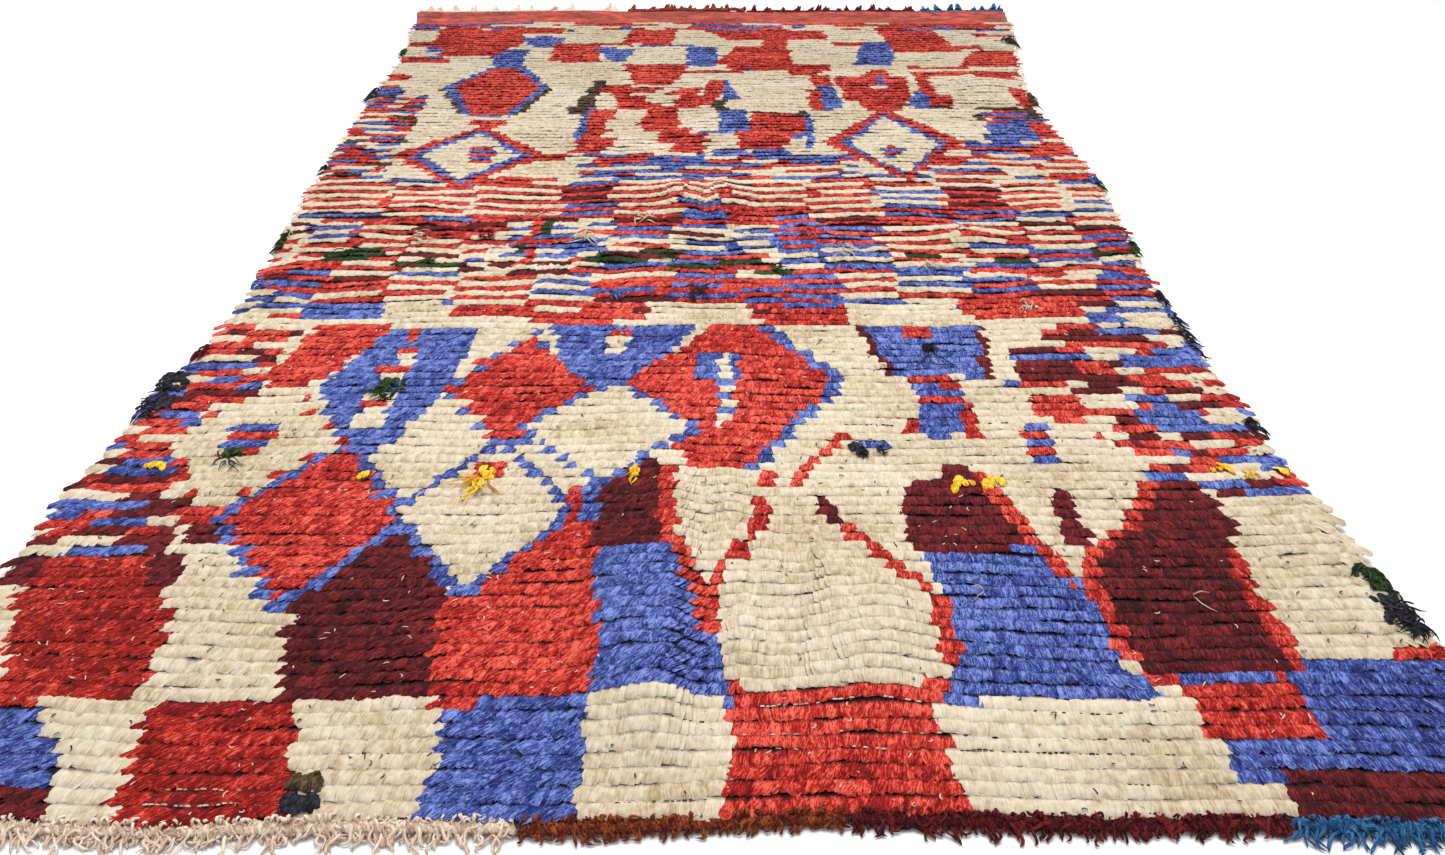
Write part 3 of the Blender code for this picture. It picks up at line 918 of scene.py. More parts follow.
row, knot = np.divmod(np.arange(PILE_ROWS * KNOTS), KNOTS)
rag = rng.uniform(0.0, ROW_END_RAG, (2, PILE_ROWS))
row_y = PILE_FRONT_Y + row * ROW_PITCH
row_phase = rng.uniform(-0.45, 0.45, PILE_ROWS)
share = np.clip((knot + 0.5 + row_phase[row] + rng.uniform(-0.2, 0.2, len(knot))) / KNOTS, 0.0, 1.0)
knot_x = (edge_x(row_y, LEFT) + rag[0][row]) * (1 - share) + (edge_x(row_y, RIGHT) - rag[1][row]) * share
stray = rng.uniform(-0.004, 0.009, (2, PILE_ROWS))
knot_x += at_ends(STRAY_KNOTS, -stray[0][row], stray[1][row])
knot_y = row_line_y(knot_x, row / PILE_ROWS)
codes = draw_pattern(knot_x, knot_y + MIDDLE_OF_LOCK, row)
pitch_x = (edge_x(row_y, RIGHT) - edge_x(row_y, LEFT)) / KNOTS

end_lean = at_ends(LEANING_KNOTS, -END_LEAN, END_LEAN)
wave = row_wave(knot_x, row, 3.7, 0.035, 12)
slow_wave = row_wave(knot_x, row, 3.7, 0.12, 13)
ripple = row_wave(knot_x, row, 2.9, 0.016, 17)
swell = row_wave(knot_x, row, 5.1, 0.03, 14)
tone_field = 0.5 + 0.16 * patches(knot_x, knot_y, 0.16, 0.05, 15)
tone_field += 0.1 * row_wave(knot_x, row, 3.1, 0.03, 16)
for yarn, deeper, at_x, half_x, at_y, half_y in DEEPER_PLACES:
    place = deeper * hump(knot_x - at_x, half_x) * hump(knot_y - at_y, half_y)
    tone_field -= place * (codes == YARN_CODE[yarn])
rough = 1.0 + 1.1 * hump(knot_y + 0.16, 0.45)

heaps = {}


def heap_for(*name):
    """The heap of this name, made at its first use."""
    return heaps.setdefault("_".join(name), Heap())


def draw_locks(at, looseness, kind):
    """Each lock's lean, reach, height, tone and half width, at these knots."""
    lean_share, lean_spread, by_wave, by_ripple, by_slow, reach_spread, *others = kind
    added, height_spread, tone_shift, tone_spread, narrowest, widest = others
    count = len(at)
    lean = lean_share * pile_lean(knot_x[at], knot_y[at]) + end_lean[at] + rng.normal(0, lean_spread, count)
    reach = by_wave * wave[at] + by_ripple * ripple[at] + by_slow * slow_wave[at]
    reach = reach * looseness + rng.normal(0, reach_spread, count)
    height = added + 0.001 * swell[at] + rng.normal(0, height_spread, count)
    tone = tone_field[at] + rng.normal(tone_shift, tone_spread, count)
    return lean, reach, height, tone, pitch_x[at] * rng.uniform(narrowest, widest, count)


def lay_yarn(name, at, heap, near):
    """Lays the locks of one yarn: broad flat tongues in cream, twisted locks in the others."""
    x = knot_x[at]
    y = knot_y[at]
    if name == "cream":
        drawn = draw_locks(at, rough[at], CREAM_LOCKS)
        profile = TONGUE_NEAR if near else TONGUE_FAR
        # Cream is painted darker towards the far end than the other yarns, as painted shade
        lay_locks(heap, x, y, *drawn, profile, TONGUE_SECTION, 0.0, 0.8)
        return
    drawn = draw_locks(at, rough[at], WOOL_LOCKS)
    y = y + rng.normal(0, 0.0005, len(at))
    lay_locks(heap, x, y, *drawn, LOCK_NEAR if near else LOCK_FAR, TONGUE_SECTION, LOCK_TWIST)
    if near:
        shares = np.where(row[at] < THIN_LOCK_ROW, *THIN_LOCK_SHARES)
        extra = np.flatnonzero(rng.uniform(0, 1, len(at)) < shares)
        drawn = draw_locks(at[extra], 1.0, THIN_LOCKS)
        x = x[extra] + pitch_x[at][extra] * rng.uniform(-0.5, 0.5, len(extra))
        lay_locks(heap, x, y[extra], *drawn, LOCK_FAR, ROUND_SECTION, THIN_LOCK_TWIST)


for name in YARN_NAMES:
    for part, in_part in (("front", row < NEAR_ROWS), ("far", row >= NEAR_ROWS)):
        at = np.flatnonzero((codes == YARN_CODE[name]) & in_part)
        if len(at):
            heap = heap_for(name, part) if name in ("cream", "coral") else heap_for(name)
            lay_yarn(name, at, heap, part == "front")


# The ground cloth and the flat-woven end

CLOTH_TINTS = (
    (214, 196, 160),
    (190, 60, 52),
    (72, 90, 165),
    (90, 32, 40),
    (42, 66, 36),
    (34, 32, 34),
    (78, 62, 42),
    (220, 176, 44),
)
# The cloth's face under the pile takes the knots' colours darkened, as painted shade for the gaps deep
# between the locks; its back takes them a little darker
FACE_PAINTED_SHADE = 0.6
BACK_DIM = 0.85
CLOTH_COLUMNS = 60
KILIM_RIBS = 48
KILIM_STEP = 0.0015
KILIM_COLOUR = (160, 60, 46)
PICK_COLOUR = (200, 130, 106)
PICK_BAND = 0.012
DEEP_TINT = np.array((0.2, 0.6, 0.55))
DEEP_PATCHES = (
    # in millimetres: middle u, how far it fades out there, middle distance past the pile, and so on
    (-465, 170, 87.5, 35),
    (60, 120, 53.5, 17),
)


def far_wave(x):
    """How the far edge wanders."""
    return 0.0035 * patches(x, 0 * x, 0.07, 1.0, 39)


def cloth_grid():
    """The cloth's lines from the front to the far end: share, distance past the pile, x, y and row."""
    kilim_share = np.arange(2 * KILIM_RIBS + 1) / (2 * KILIM_RIBS)
    alongs = np.concatenate([np.arange(PILE_ROWS + 1) / PILE_ROWS, np.ones(len(kilim_share))])
    kilim_past = KILIM_STEP + kilim_share * (KILIM_LENGTH - KILIM_STEP)
    pasts = np.concatenate([np.zeros(PILE_ROWS + 1), kilim_past])
    shares = np.linspace(0.0, 1.0, CLOTH_COLUMNS + 1)
    along, share = np.meshgrid(alongs, shares, indexing="ij")
    past, _ = np.meshgrid(pasts, shares, indexing="ij")
    x, y = cloth_point(share, along, past)
    y = y + far_wave(x) * (past / KILIM_LENGTH) ** 2
    return share, past, x, y, np.clip((along * PILE_ROWS).astype(int), 0, PILE_ROWS - 1)


def kilim_colours(x, y, past):
    """The flat-woven end's uneven colour, with a band of pale picks and deeper places."""
    u, _ = pattern_place(x, y)
    woven = np.empty((*x.shape, 3))
    woven[:] = linear(KILIM_COLOUR)
    shade = 0.3 * patches(x, y, 0.13, 0.03, 33) + 0.26 * patches(x, y, 0.05, 0.014, 34)
    woven *= (1 + shade)[..., None]
    pale = (past > 0) & (past < PICK_BAND) & (np.sin(0.023 * u + 4) + np.sin(0.009 * u) > 0.1)
    woven[pale] = linear(PICK_COLOUR)
    for at_u, reach_u, at_past, reach_past in DEEP_PATCHES:
        deep = hump(u - at_u, reach_u) * hump(past - at_past / 1000, reach_past / 1000)
        woven *= 1 - deep[..., None] * DEEP_TINT
    return woven.reshape(-1, 3)


def make_cloth():
    """The cloth under the pile, with the ribbed flat-woven end: a closed sheet on the floor."""
    share, past, x, y, rows = cloth_grid()
    lines = len(x)
    kilim = np.arange(lines) > PILE_ROWS
    rib = np.where(np.arange(lines) % 2, 0.0009, -0.0005)
    wavy = 0.0016 * (1 + patches(x, y, 0.09, 0.05, 31)) + 0.0005 * patches(x, y, 0.02, 0.004, 32)
    above = np.where(kilim[:, None], 0.0034 + rib[:, None] + wavy, 0.0055) + lift(x, y)
    below = np.where(kilim[:, None], np.maximum(0.0, wavy - 0.0012), 0.0) + lift(x, y)
    above = np.where((share == 0) | (share == 1), below + 0.0022, above)
    points = np.concatenate([np.stack([x, y, height], axis=-1).reshape(-1, 3) for height in (above, below)])

    columns = CLOTH_COLUMNS + 1
    down = lines * columns
    i, j = np.meshgrid(np.arange(lines - 1), np.arange(CLOTH_COLUMNS), indexing="ij")
    a = (i * columns + j).ravel()
    quads = np.stack([a, a + 1, a + 1 + columns, a + columns], axis=1)
    faces = [quads, quads[:, ::-1] + down]
    for chain in (
        np.arange(columns),
        np.arange(lines) * columns + columns - 1,
        np.arange(columns)[::-1] + (lines - 1) * columns,
        np.arange(lines)[::-1] * columns,
    ):
        faces.append(np.stack([chain[1:], chain[:-1], chain[:-1] + down, chain[1:] + down], axis=1))
    piece = mesh_piece("ground_cloth", points, [np.concatenate(faces)], cloth_material())

    woven = kilim_colours(x, y, past)
    in_kilim = np.repeat(kilim, columns)[:, None]
    tints = np.array([linear(tint) for tint in CLOTH_TINTS])
    knots = tints[draw_pattern(x.ravel(), y.ravel(), rows.ravel())]
    # The face is painted darker than the knots, as shade under the locks
    colour = np.concatenate([np.where(in_kilim, woven, knots * dim) for dim in (FACE_PAINTED_SHADE, BACK_DIM)])
    layer = piece.data.attributes.new("woven", "FLOAT_COLOR", "POINT")
    layer.data.foreach_set("color", np.c_[colour, np.ones(len(colour))].astype(np.float32).ravel())
    return piece


cloth = make_cloth()
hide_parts("rug_cloth")


# Loose yarns, cords and fringes

LOOSE_STOPS = 7
LOOSE_TIP = 0.7
# Where cords and loose yarn ends start along the painted root shade, so that they take less of it
CORD_ROOT = 0.4
ROPE_LAYERS = 2
FRONT_FRINGES = (
    # yarn, x from, x to, material, yarn pitch, shortest, longest, radius, wiggle, reach over the first row
    ("cream", -0.887, -0.2, "beige", 0.0048, 0.012, 0.028, 0.0019, 0.34, 0.012),
    ("rust", -0.2, 0.126, "rust", 0.0044, 0.006, 0.015, 0.0021, 0.45, 0.012),
    ("burgundy", 0.126, 0.567, "burgundy", 0.0046, 0.007, 0.02, 0.0021, 0.32, 0.01),
    ("blue", 0.567, 0.856, "steel", 0.0046, 0.016, 0.034, 0.002, 0.2, 0.003),
)
FAR_FRINGES = (
    # yarn, x from, x to, material, cord radius, distance between tufts, longest tuft
    ("cream", -0.93, -0.265, "beige", 0.0026, 0.054, 0.036),
    ("rust", -0.265, 0.11, "rust", 0.0044, 0.026, 0.034),
    ("burgundy", 0.11, 0.65, "burgundy", 0.003, 0.034, 0.032),
    ("blue", 0.65, 0.93, "steel", 0.0024, 0.032, 0.034),
)
# The front fringe's layers of yarn ends: height, distance behind the cord, share of the length
FRONT_LAYERS = ((0.0045, -0.004, 1.0), (0.01, 0.0, 0.95), (0.014, 0.005, 0.8))
LAID_PITCH = 0.0042
CURL_PITCH = 0.01
TUFT_THICKNESS = np.array((0.004, 0.0042, 0.0038, 0.0026))
SELVEDGE_YARNS = 110


def loose_yarns(heap, start, heading, length, radius, wiggle, rise, tone=0.5):
    """Yarn ends that leave start, run along heading on the floor or the pile, and wave from side to side."""
    count = len(start)
    t = np.linspace(0.0, 1.0, LOOSE_STOPS)[None, :]
    forward = np.stack([np.sin(heading), -np.cos(heading)], axis=-1)
    across = np.stack([np.cos(heading), np.sin(heading)], axis=-1)
    phase = rng.uniform(0, 2 * math.pi, (count, 1))
    turns = rng.uniform(0.5, 1.3, (count, 1))
    sway = wiggle * length[:, None] * (np.sin(phase + turns * 2 * math.pi * t) - np.sin(phase)) * t
    bow = rng.normal(0, 0.5 * wiggle, (count, 1)) * length[:, None] * t**2
    paths = np.empty((count, LOOSE_STOPS, 3))
    for axis in (0, 1):
        along = forward[:, None, axis] * length[:, None] * t
        paths[..., axis] = start[:, None, axis] + along + across[:, None, axis] * (sway + bow)
    floor = radius * 1.05
    fall = (1 - t) ** 2
    paths[..., 2] = start[:, None, 2] * fall + floor * (1 - fall) + rise * np.sin(math.pi * t**0.7)
    thick = radius * np.linspace(1.0, LOOSE_TIP, LOOSE_STOPS)[None, 1:-1]
    widths = np.broadcast_to(thick, (count, LOOSE_STOPS - 2)) * rng.uniform(0.8, 1.25, (count, 1))
    heap.add_yarns(paths, widths, tone + rng.normal(0, 0.14, count), CORD_ROOT)


def rope(heap, line, run_from, run_to, pitch, length, radius, slant, tone):
    """A twined cord: short strands that overlap at a slant along line(run) -> points."""
    for layer in range(ROPE_LAYERS):
        run = np.arange(run_from, run_to, pitch) + pitch * layer / ROPE_LAYERS
        run = np.clip(run + rng.normal(0, pitch * 0.1, len(run)), run_from + length / 2, run_to - length / 2)
        t = np.linspace(-0.5, 0.5, 5)[None, :]
        paths = line(run[:, None] + t * length)
        turn = math.pi * (t + 0.5) + layer * 0.3
        paths[..., 1] += slant * np.cos(turn) * radius * 1.6
        paths[..., 2] += np.sin(turn) * radius * 0.9
        thick = radius * np.array([0.75, 1.0, 0.75])[None, :] * rng.uniform(0.85, 1.2, (len(run), 1))
        tones = tone + rng.normal(0, 0.12, len(run))
        heap.add(paths, thick, thick, ROPE_SECTION, tones, ROPE_TWIST, None, CORD_ROOT)


def front_line(x):
    """The middle of the front cord."""
    x = np.asarray(x)
    return np.stack([x, row_line_y(x, 0.0) - 0.0075, np.full(x.shape, 0.0055)], axis=-1)


def far_line(x):
    """The foot of the far cord."""
    x = np.asarray(x)
    y = row_line_y(x, 1.0) + KILIM_LENGTH + far_wave(x)
    height = 0.0042 + 0.0014 * patches(x, y, 0.05, 1.0, 35)
    return np.stack([x, y + 0.0035, height], axis=-1)


def make_front_fringe(yarn, x_from, x_to, material, pitch, shortest, longest, radius, wiggle, overlap):
    """A twined cord along the end, under layers of curling yarn ends."""
    heap = Heap()
    rope(heap, front_line, x_from + 0.001, x_to - 0.001, 0.006, 0.015, 0.0036, 1.3, 0.35)
    low = x_from + 0.003
    high = x_to - 0.003
    for height, back, share in FRONT_LAYERS:
        x = np.arange(low, high, pitch)
        x = x + rng.normal(0, 0.002, len(x))
        start = front_line(np.clip(x, low, high))
        start[:, 1] += back + rng.uniform(-0.003, 0.003, len(x))
        start[:, 2] = height
        heading = rng.normal(-0.15, 0.75, len(x)) + 0.7 * patches(x, height * 900, 0.025, 1.0, 36)
        length = share * rng.uniform(shortest, longest, len(x))
        loose_yarns(heap, start, heading, length, radius, wiggle, 0.003)
    laid = rng.uniform(low, high, int((high - low) / LAID_PITCH))
    start = front_line(laid)
    start[:, 1] += rng.uniform(-0.004, 0.007, len(laid))
    start[:, 2] = 0.0115
    side = np.where(rng.uniform(0, 1, len(laid)) < 0.6, -1.0, 1.0)
    heading = side * (math.pi / 2 + rng.normal(-0.1, 0.4, len(laid)))
    length = rng.uniform(0.01, 0.024, len(laid))
    loose_yarns(heap, start, heading, length, radius, 0.25, 0.0045, 0.6)
    curls = rng.uniform(low, high, int((high - low) / CURL_PITCH))
    start = front_line(curls)
    start[:, 2] = 0.012
    heading = math.pi + rng.normal(0, 0.8, len(curls))
    length = rng.uniform(0.5, 1.3, len(curls)) * overlap
    loose_yarns(heap, start, heading, length, radius * 0.9, 0.45, 0.012, 0.6)
    piece = heap.make_piece("front_fringe_yarns_" + yarn, MATERIALS[material], SLOTS[material])
    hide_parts("front_fringe_" + yarn)
    return piece


def make_far_fringe(yarn, x_from, x_to, material, cord, spacing, longest):
    """Pointed tufts that stand up a little from a cord along the flat-woven end."""

    def cord_line(x):
        line = far_line(x)
        line[..., 2] += (cord - 0.0025) * (1.3 + 2.0 * patches(x, 0 * x, 0.035, 1.0, 38))
        return line

    heap = Heap()
    rope(heap, cord_line, x_from + 0.001, x_to - 0.001, 0.007, 0.02, cord, 1.0, 0.5)
    tufts = np.arange(x_from + spacing / 2, x_to, spacing)
    tufts = tufts + rng.normal(0, spacing * 0.2, len(tufts))
    for at_x in np.clip(tufts, x_from + 0.012, x_to - 0.012):
        strands = int(rng.integers(9, 14))
        root = far_line(at_x + rng.uniform(-0.012, 0.012, strands))
        reach = rng.uniform(0.5, 1.0) * longest
        lean = rng.normal(0.25, 0.4)
        tip_y = root[:, 1].mean() + reach * math.cos(lean) * 0.8
        tip = np.array((at_x + reach * math.sin(lean), tip_y, reach * 0.62))
        ends = tip + rng.normal(0, 0.0034, (strands, 3))
        t = np.linspace(0.0, 1.0, 6)[None, :, None]
        paths = root[:, None] * (1 - t) + ends[:, None] * t
        paths[..., 2] -= 0.1 * reach * np.sin(math.pi * t[..., 0])
        paths[..., 2] = np.maximum(paths[..., 2], 0.0046)
        thick = TUFT_THICKNESS[None, :] * rng.uniform(0.8, 1.15, (strands, 1))
        heap.add_yarns(paths, thick, 0.5 + rng.normal(0, 0.14, strands))
    piece = heap.make_piece("far_fringe_yarns_" + yarn, MATERIALS[material], SLOTS[material])
    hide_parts("far_fringe_" + yarn)
    return piece


def make_selvedge(side, outward, column):
    """The overcast edge under the row ends, with short loose ends of ground yarn."""
    low = PILE_FRONT_Y + 0.012
    high = PILE_FRONT_Y + PILE_LENGTH - 0.012

    def line(y):
        x = edge_x(y, column) + outward * 0.0015
        return np.stack([y, x, 0.005 + lift(x, y)], axis=-1)

    heap = Heap()
    rope(heap, line, low, high, 0.0125, 0.034, 0.0036, 1.0, 0.5)
    for block in heap.points:
        block[:, [0, 1]] = block[:, [1, 0]]
    for group in (*heap.triangles, *heap.quads):
        group[:] = group[:, ::-1]
    y = np.sort(rng.uniform(PILE_FRONT_Y + 0.02, PILE_FRONT_Y + PILE_LENGTH - 0.02, SELVEDGE_YARNS))
    start = np.stack([edge_x(y, column), y, np.full(len(y), 0.008)], axis=-1)
    heading = outward * rng.uniform(0.5, 1.7, len(y))
    loose_yarns(heap, start, heading, rng.uniform(0.008, 0.028, len(y)), 0.0016, 0.2, 0.002)
    piece = heap.make_piece(side + "_selvedge_yarns", MATERIALS["beige"], SLOTS["beige"])
    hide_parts(side + "_selvedge")
    return piece


with_cloth = [make_front_fringe(*fringe) for fringe in FRONT_FRINGES]
with_cloth += [make_far_fringe(*fringe) for fringe in FAR_FRINGES]
with_cloth += [make_selvedge("left", -1, LEFT), make_selvedge("right", 1, RIGHT)]

# Tufts, pads, wefts and fibres on the pile

TUFTS = (
    # yarn, u, v, strands, longest, heading in degrees (0 is forward, -90 left), spread along the rug, radius
    ("dark", -860, 775, 60, 50, -75, 34, 1.7),
    ("blue", -850, 715, 12, 45, -75, 26, 1.6),
    ("dark", -850, 715, 36, 45, -75, 28, 1.6),
    ("burgundy", -850, 865, 22, 38, -85, 14, 1.8),
    ("green", -850, 1255, 26, 34, -80, 20, 1.6),
    ("cream", -855, 1315, 22, 32, -80, 14, 1.8),
    ("blue", -850, 1110, 12, 30, -80, 14, 1.8),
    ("dark", -875, 1290, 12, 30, -80, 15, 1.6),
    ("dark", -870, 1620, 12, 30, -80, 18, 1.6),
    ("dark", -875, 2110, 26, 40, -80, 40, 1.8),
    ("green", -890, 2450, 18, 36, -75, 20, 1.8),
    ("green", 838, 340, 46, 30, 60, 20, 1.6),
    ("dark", 838, 280, 50, 42, 75, 26, 1.6),
    ("coral", 845, 222, 10, 22, 75, 8, 1.8),
    ("dark", 815, 665, 20, 36, 80, 12, 1.6),
    ("dark", 820, 930, 40, 44, 75, 60, 1.6),
    ("blue", 810, 985, 14, 40, 75, 30, 1.6),
    ("green", 850, 1240, 24, 36, 80, 45, 1.6),
    ("blue", 845, 1560, 18, 32, 80, 18, 1.8),
    ("green", 850, 1540, 10, 34, 80, 14, 1.6),
    ("dark", 815, 1045, 20, 36, 80, 12, 1.8),
    ("brown", 860, 2050, 34, 36, 80, 45, 1.8),
    ("dark", 880, 2560, 20, 40, 70, 20, 1.8),
    ("green", 885, 2540, 14, 36, 60, 16, 1.8),
    ("yellow", -315, 535, 20, 52, -18, 10, 1.6),
    ("yellow", -100, 548, 6, 24, -30, 8, 1.4),
    ("yellow", 765, 552, 8, 22, 40, 6, 1.5),
    ("green", -500, 755, 18, 42, -35, 12, 1.4),
    ("green", -690, 580, 8, 45, 5, 8, 1.1),
    ("dark", 365, 880, 26, 26, 40, 8, 1.4),
    ("dark", 372, 865, 3, 115, 8, 4, 1.3),
    ("dark", 225, 600, 18, 18, -10, 8, 1.6),
    ("dark", 252, 600, 10, 22, 20, 6, 1.3),
    ("cream", 570, 1020, 12, 22, 0, 12, 1.8),
    ("cream", 600, 312, 2, 45, 20, 2, 0.9),
    ("cream", 345, 322, 2, 30, -60, 2, 0.9),
    ("cream", -240, 1300, 12, 50, 5, 20, 1.3),
    ("cream", 260, 1240, 10, 55, 5, 20, 1.3),
    ("cream", 420, 1180, 12, 40, 0, 15, 1.3),
    ("cream", -120, 1380, 10, 45, 0, 20, 1.3),
    ("cream", -560, 1290, 12, 36, -10, 20, 1.3),
    ("coral", 50, 1380, 8, 45, 0, 20, 1.4),
    ("coral", -350, 1400, 8, 45, 0, 16, 1.4),
    ("burgundy", -430, 1290, 12, 24, -60, 12, 1.8),
    ("dark", -20, 1050, 12, 26, 20, 16, 1.6),
    ("burgundy", -10, 1080, 14, 30, -10, 16, 1.8),
    ("green", -690, 1222, 12, 26, -20, 12, 1.6),
    ("green", -530, 1182, 12, 26, 10, 12, 1.6),
    ("green", -200, 1205, 14, 28, -10, 14, 1.6),
    ("green", -80, 1215, 14, 28, 15, 14, 1.6),
    ("green", 40, 1180, 12, 26, 0, 14, 1.6),
    ("green", 130, 1160, 12, 26, 20, 12, 1.6),
    ("blue", -160, 1060, 10, 24, 0, 14, 1.8),
    ("coral", 200, 1300, 12, 30, 0, 18, 1.6),
)
# Pads of another yarn that stand on the pile: yarn, u, v, half width, half depth, locks
PADS = (
    ("brown", -415, 48, 17, 7, 22),
    ("dark", -415, 24, 19, 7, 24),
    ("yellow", -312, 552, 13, 10, 12),
    ("yellow", 360, 530, 15, 10, 14),
    ("yellow", 402, 530, 14, 8, 12),
    ("yellow", -785, 568, 18, 3, 10),
    ("yellow", 735, 562, 14, 6, 9),
    ("yellow", -100, 560, 6, 8, 5),
    ("yellow", -480, 548, 6, 4, 4),
    ("yellow", 815, 556, 9, 3, 4),
    ("green", -500, 775, 20, 12, 22),
    ("green", -688, 598, 14, 7, 14),
    ("dark", 222, 608, 12, 10, 14),
    ("green", 838, 345, 14, 18, 24),
    ("dark", 836, 290, 14, 20, 24),
    ("dark", -845, 780, 24, 22, 34),
    ("dark", -850, 722, 22, 16, 26),
)
WEFT_GLIMPSES = (
    # yarn, u from, u to, v, share of the length that shows
    ("aqua", -575, -440, 34, 0.65),
    ("cream", -560, -470, 52, 0.45),
    ("aqua", 50, 240, 145, 0.25),
    ("aqua", 35, 255, 105, 0.2),
    ("aqua", 40, 250, 85, 0.25),
    ("brown", 260, 500, 88, 0.5),
    ("aqua", 290, 480, 125, 0.35),
    ("brown", 270, 520, 145, 0.3),
    ("brown", 270, 470, 50, 0.25),
    ("aqua", 280, 420, 70, 0.2),
    ("brown", -90, -10, 30, 0.85),
    ("aqua", -100, 10, 30, 0.35),
    ("brown", 280, 500, 108, 0.25),
    ("dark", 290, 500, 164, 0.25),
    ("brown", -400, -290, 90, 0.2),
    ("brown", -110, 10, 125, 0.15),
    ("dark", 180, 460, 685, 0.3),
    ("dark", 230, 300, 640, 0.35),
    ("dark", -640, -600, 690, 0.6),
)
SPECKS = (
    # yarn, the pile's yarn that it clings to, how many
    ("cream", "coral", 170),
    ("cream", "burgundy", 50),
    ("dark", "cream", 90),
    ("brown", "cream", 80),
    ("aqua", "cream", 50),
)
# Heights of what lies on the pile
PILE_TOP = 0.0155
SPECK_HEIGHT = 0.0158
WEFT_PITCH = 6.2
WEFT_HEIGHT = 0.0131
# Where wefts and specks start along the painted root shade, so that they take little of it
WEFT_ROOT = 0.5


def pile_heap(yarn):
    """The heap that takes the tufts of this yarn."""
    return heap_for(yarn, "far") if yarn in ("cream", "coral") else heap_for(yarn)


def make_tuft(yarn, u, v, strands, longest, degrees, spread, radius):
    """Curling strands that lie over the pile, or hang over the rug's edge."""
    centre_x, centre_y = table_place(u, v)
    spread = spread / 1000
    radius = radius / 1000
    x = centre_x + rng.uniform(-1, 1, strands) * min(spread, 0.014)
    y = centre_y + rng.uniform(-1, 1, strands) * spread
    x = np.clip(x, edge_x(y, LEFT) + 0.002, edge_x(y, RIGHT) - 0.002)
    length = rng.uniform(0.45, 1.0, (strands, 1)) * (longest / 1000)
    t = np.linspace(0.0, 1.0, 7)[None, :]
    heading = math.radians(degrees) + rng.normal(0, 0.5, (strands, 1))
    curl = rng.normal(0, 1.1, (strands, 1)) * t + rng.normal(0, 0.5, (strands, 1)) * np.sin(6.0 * t)
    angle = (heading + curl)[:, 1:]
    start = np.zeros((strands, 1))
    px = x[:, None] + np.concatenate([start, np.cumsum(np.sin(angle) * length / 6, axis=1)], axis=1)
    py = y[:, None] - np.concatenate([start, np.cumsum(np.cos(angle) * length / 6, axis=1)], axis=1)
    beyond = np.maximum(px - edge_x(py, RIGHT), edge_x(py, LEFT) - px)
    rest = np.where(beyond > 0, np.maximum(radius, 0.015 - beyond * 0.55), PILE_TOP)
    rise = rng.uniform(0.001, 0.007, (strands, 1)) * np.sin(math.pi * t)
    paths = np.stack([px, py, rest + lift(px, py) + rise], axis=-1)
    paths[:, 0, 2] -= 0.003
    thick = radius * np.array([0.9, 1.0, 1.0, 0.85, 0.6])[None, :] * rng.uniform(0.7, 1.15, (strands, 1))
    # The tufts start far along the painted root shade, so that they take little of it
    pile_heap(yarn).add_yarns(paths, thick, 0.5 + rng.normal(0, 0.16, strands), 0.45)


def make_pad(yarn, u, v, half_u, half_v, locks):
    """A small thick cluster of locks."""
    centre_x, centre_y = table_place(u, v)
    across = rng.uniform(-1, 1, locks)
    along = rng.uniform(-1, 1, locks)
    x = centre_x + across * (half_u / 1000)
    y = centre_y - MIDDLE_OF_LOCK + along * (half_v / 1000)
    height = 0.0022 + 0.0035 * (1 - across**2) * (1 - 0.5 * along**2)
    lean = 0.25 * across + rng.normal(0, 0.2, locks)
    reach = rng.normal(-0.004, 0.0015, locks)
    tone = 0.5 + rng.normal(0, 0.14, locks)
    half = rng.uniform(0.003, 0.0048, locks)
    drawn = (lean, reach, height, tone, half)
    # The pads take painted shade towards the far end and start partway along the painted root shade
    lay_locks(pile_heap(yarn), x, y, *drawn, LOCK_NEAR, ROUND_SECTION, PAD_TWIST, 0.9, 0.2)


def make_weft_glimpse(yarn, u_from, u_to, v, shown):
    """Short stretches of weft that show between two rows."""
    x, y = table_place(np.arange(u_from, u_to, WEFT_PITCH), v)
    x = x[rng.uniform(0, 1, len(x)) < shown + 0.4 * patches(x, v / 10, 0.03, 1.0, 37)]
    if not len(x):
        return
    at_row = round((y - PILE_FRONT_Y) / ROW_PITCH)
    t = np.linspace(-0.5, 0.5, 5)[None, :]
    px = x[:, None] + t * rng.uniform(0.004, 0.008, (len(x), 1))
    py = row_line_y(px, at_row / PILE_ROWS) - 0.0042 - 0.0026 * row_wave(px, at_row, 3.7, 0.035, 12)
    pz = WEFT_HEIGHT + 0.0006 * rng.normal(0, 1, (len(x), 1)) + 0.0008 * np.cos(math.pi * t) + lift(px, py)
    thick = 0.001 * rng.uniform(0.7, 1.2, (len(x), 3))
    tone = 0.6 + rng.normal(0, 0.2, len(x))
    heap_for(yarn, "weft").add_yarns(np.stack([px, py, pz], axis=-1), thick, tone, WEFT_ROOT)


def scatter_specks(yarn, over, count):
    """Short fibres of one yarn that cling to the pile of another."""
    at = np.flatnonzero((row < NEAR_ROWS) & (codes == YARN_CODE[over]))
    at = rng.choice(at, count)
    x = knot_x[at] + rng.uniform(-0.003, 0.003, count)
    y = knot_y[at] + rng.uniform(0.0, 0.012, count)
    heading = rng.uniform(0, 2 * math.pi, (count, 1))
    t = np.linspace(-0.5, 0.5, 5)[None, :]
    run = rng.uniform(0.004, 0.011, (count, 1)) * t
    turn = heading + rng.normal(0, 1.0, (count, 1)) * t
    px = x[:, None] + np.cos(turn) * run
    py = y[:, None] + np.sin(turn) * run
    paths = np.stack([px, py, SPECK_HEIGHT + lift(px, py)], axis=-1)
    thick = 0.0007 * rng.uniform(0.8, 1.3, (count, 3))
    heap_for(yarn, "weft").add_yarns(paths, thick, np.full(count, 0.8), WEFT_ROOT)


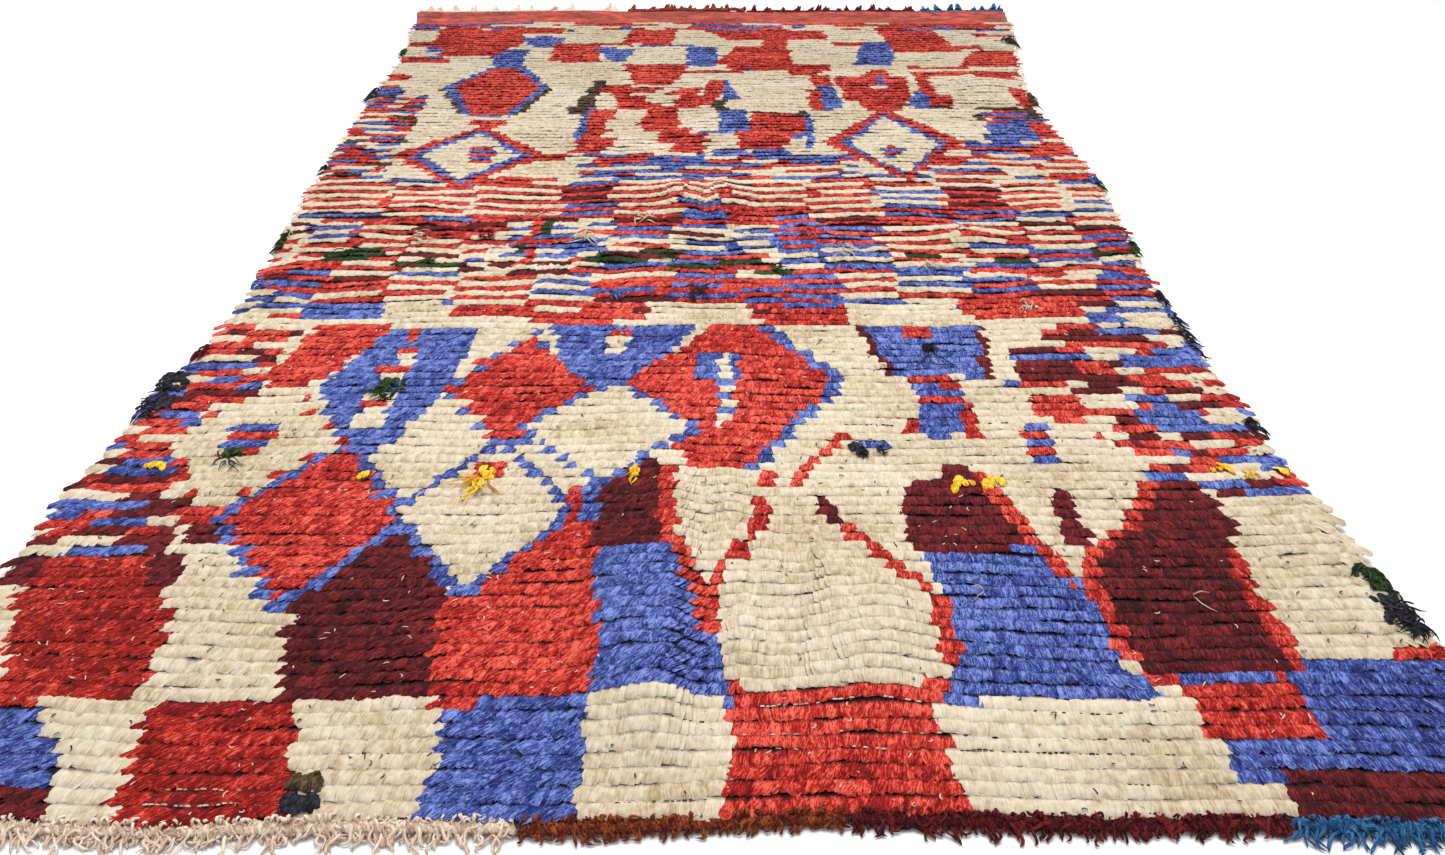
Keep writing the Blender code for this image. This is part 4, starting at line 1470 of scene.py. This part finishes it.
for speck in SPECKS:
    scatter_specks(*speck)
for tuft in TUFTS:
    make_tuft(*tuft)
for pad in PADS:
    make_pad(*pad)
for glimpse in WEFT_GLIMPSES:
    make_weft_glimpse(*glimpse)

for name, heap in heaps.items():
    yarn = name.split("_")[0]
    with_cloth.append(heap.make_piece("pile_" + name, MATERIALS[yarn], SLOTS[yarn], True))


# Floor, light and camera

FLOOR_HALF = 40.0
LIGHT_PLACE = (0.0, 0.2, 3.2)
LIGHT_TARGET = (0.0, -0.2, 0.0)


def add_object(name, data):
    """Adds an object to the scene."""
    thing = bpy.data.objects.new(name, data)
    bpy.context.scene.collection.objects.link(thing)
    return thing


def make_floor():
    """A plain pale floor."""
    looks = {"Base Color": (0.96, 0.96, 0.96, 1.0), "Roughness": 0.8}
    material, _, _ = start_material("studio_floor", looks)
    mesh = bpy.data.meshes.new("floor")
    corners = [(x * FLOOR_HALF, y * FLOOR_HALF, 0) for x, y in ((-1, -1), (1, -1), (1, 1), (-1, 1))]
    mesh.from_pydata(corners, [], [(0, 1, 2, 3)])
    mesh.materials.append(material)
    floor = add_object("floor", mesh)


def make_light():
    """One large soft light above the rug."""
    data = bpy.data.lights.new("overhead", "AREA")
    data.shape = "SQUARE"
    data.size = 3.0
    data.energy = 150.0
    light = add_object("overhead", data)
    light.location = LIGHT_PLACE
    aim = Vector(LIGHT_TARGET) - Vector(LIGHT_PLACE)
    light.rotation_euler = aim.to_track_quat("-Z", "Y").to_euler()


def make_camera():
    """The photograph's viewing angle."""
    data = bpy.data.cameras.new("camera")
    data.sensor_width = 36.0
    data.lens = 26.16
    data.shift_x = 0.0114
    camera = add_object("camera", data)
    camera.location = (-0.015, -2.035, 0.9464)
    camera.rotation_euler = (math.radians(53.13), 0.0, 0.0)
    bpy.context.scene.camera = camera


def make_world():
    """Even white light from all around."""
    world = bpy.data.worlds.new("studio")
    world.use_nodes = True
    background = {"Color": (1.0, 1.0, 1.0, 1.0), "Strength": 0.55}
    fill_inputs(world.node_tree, world.node_tree.nodes["Background"], background)
    bpy.context.scene.world = world
    bpy.context.scene.view_settings.view_transform = "Standard"


make_floor()
make_light()
make_camera()
make_world()
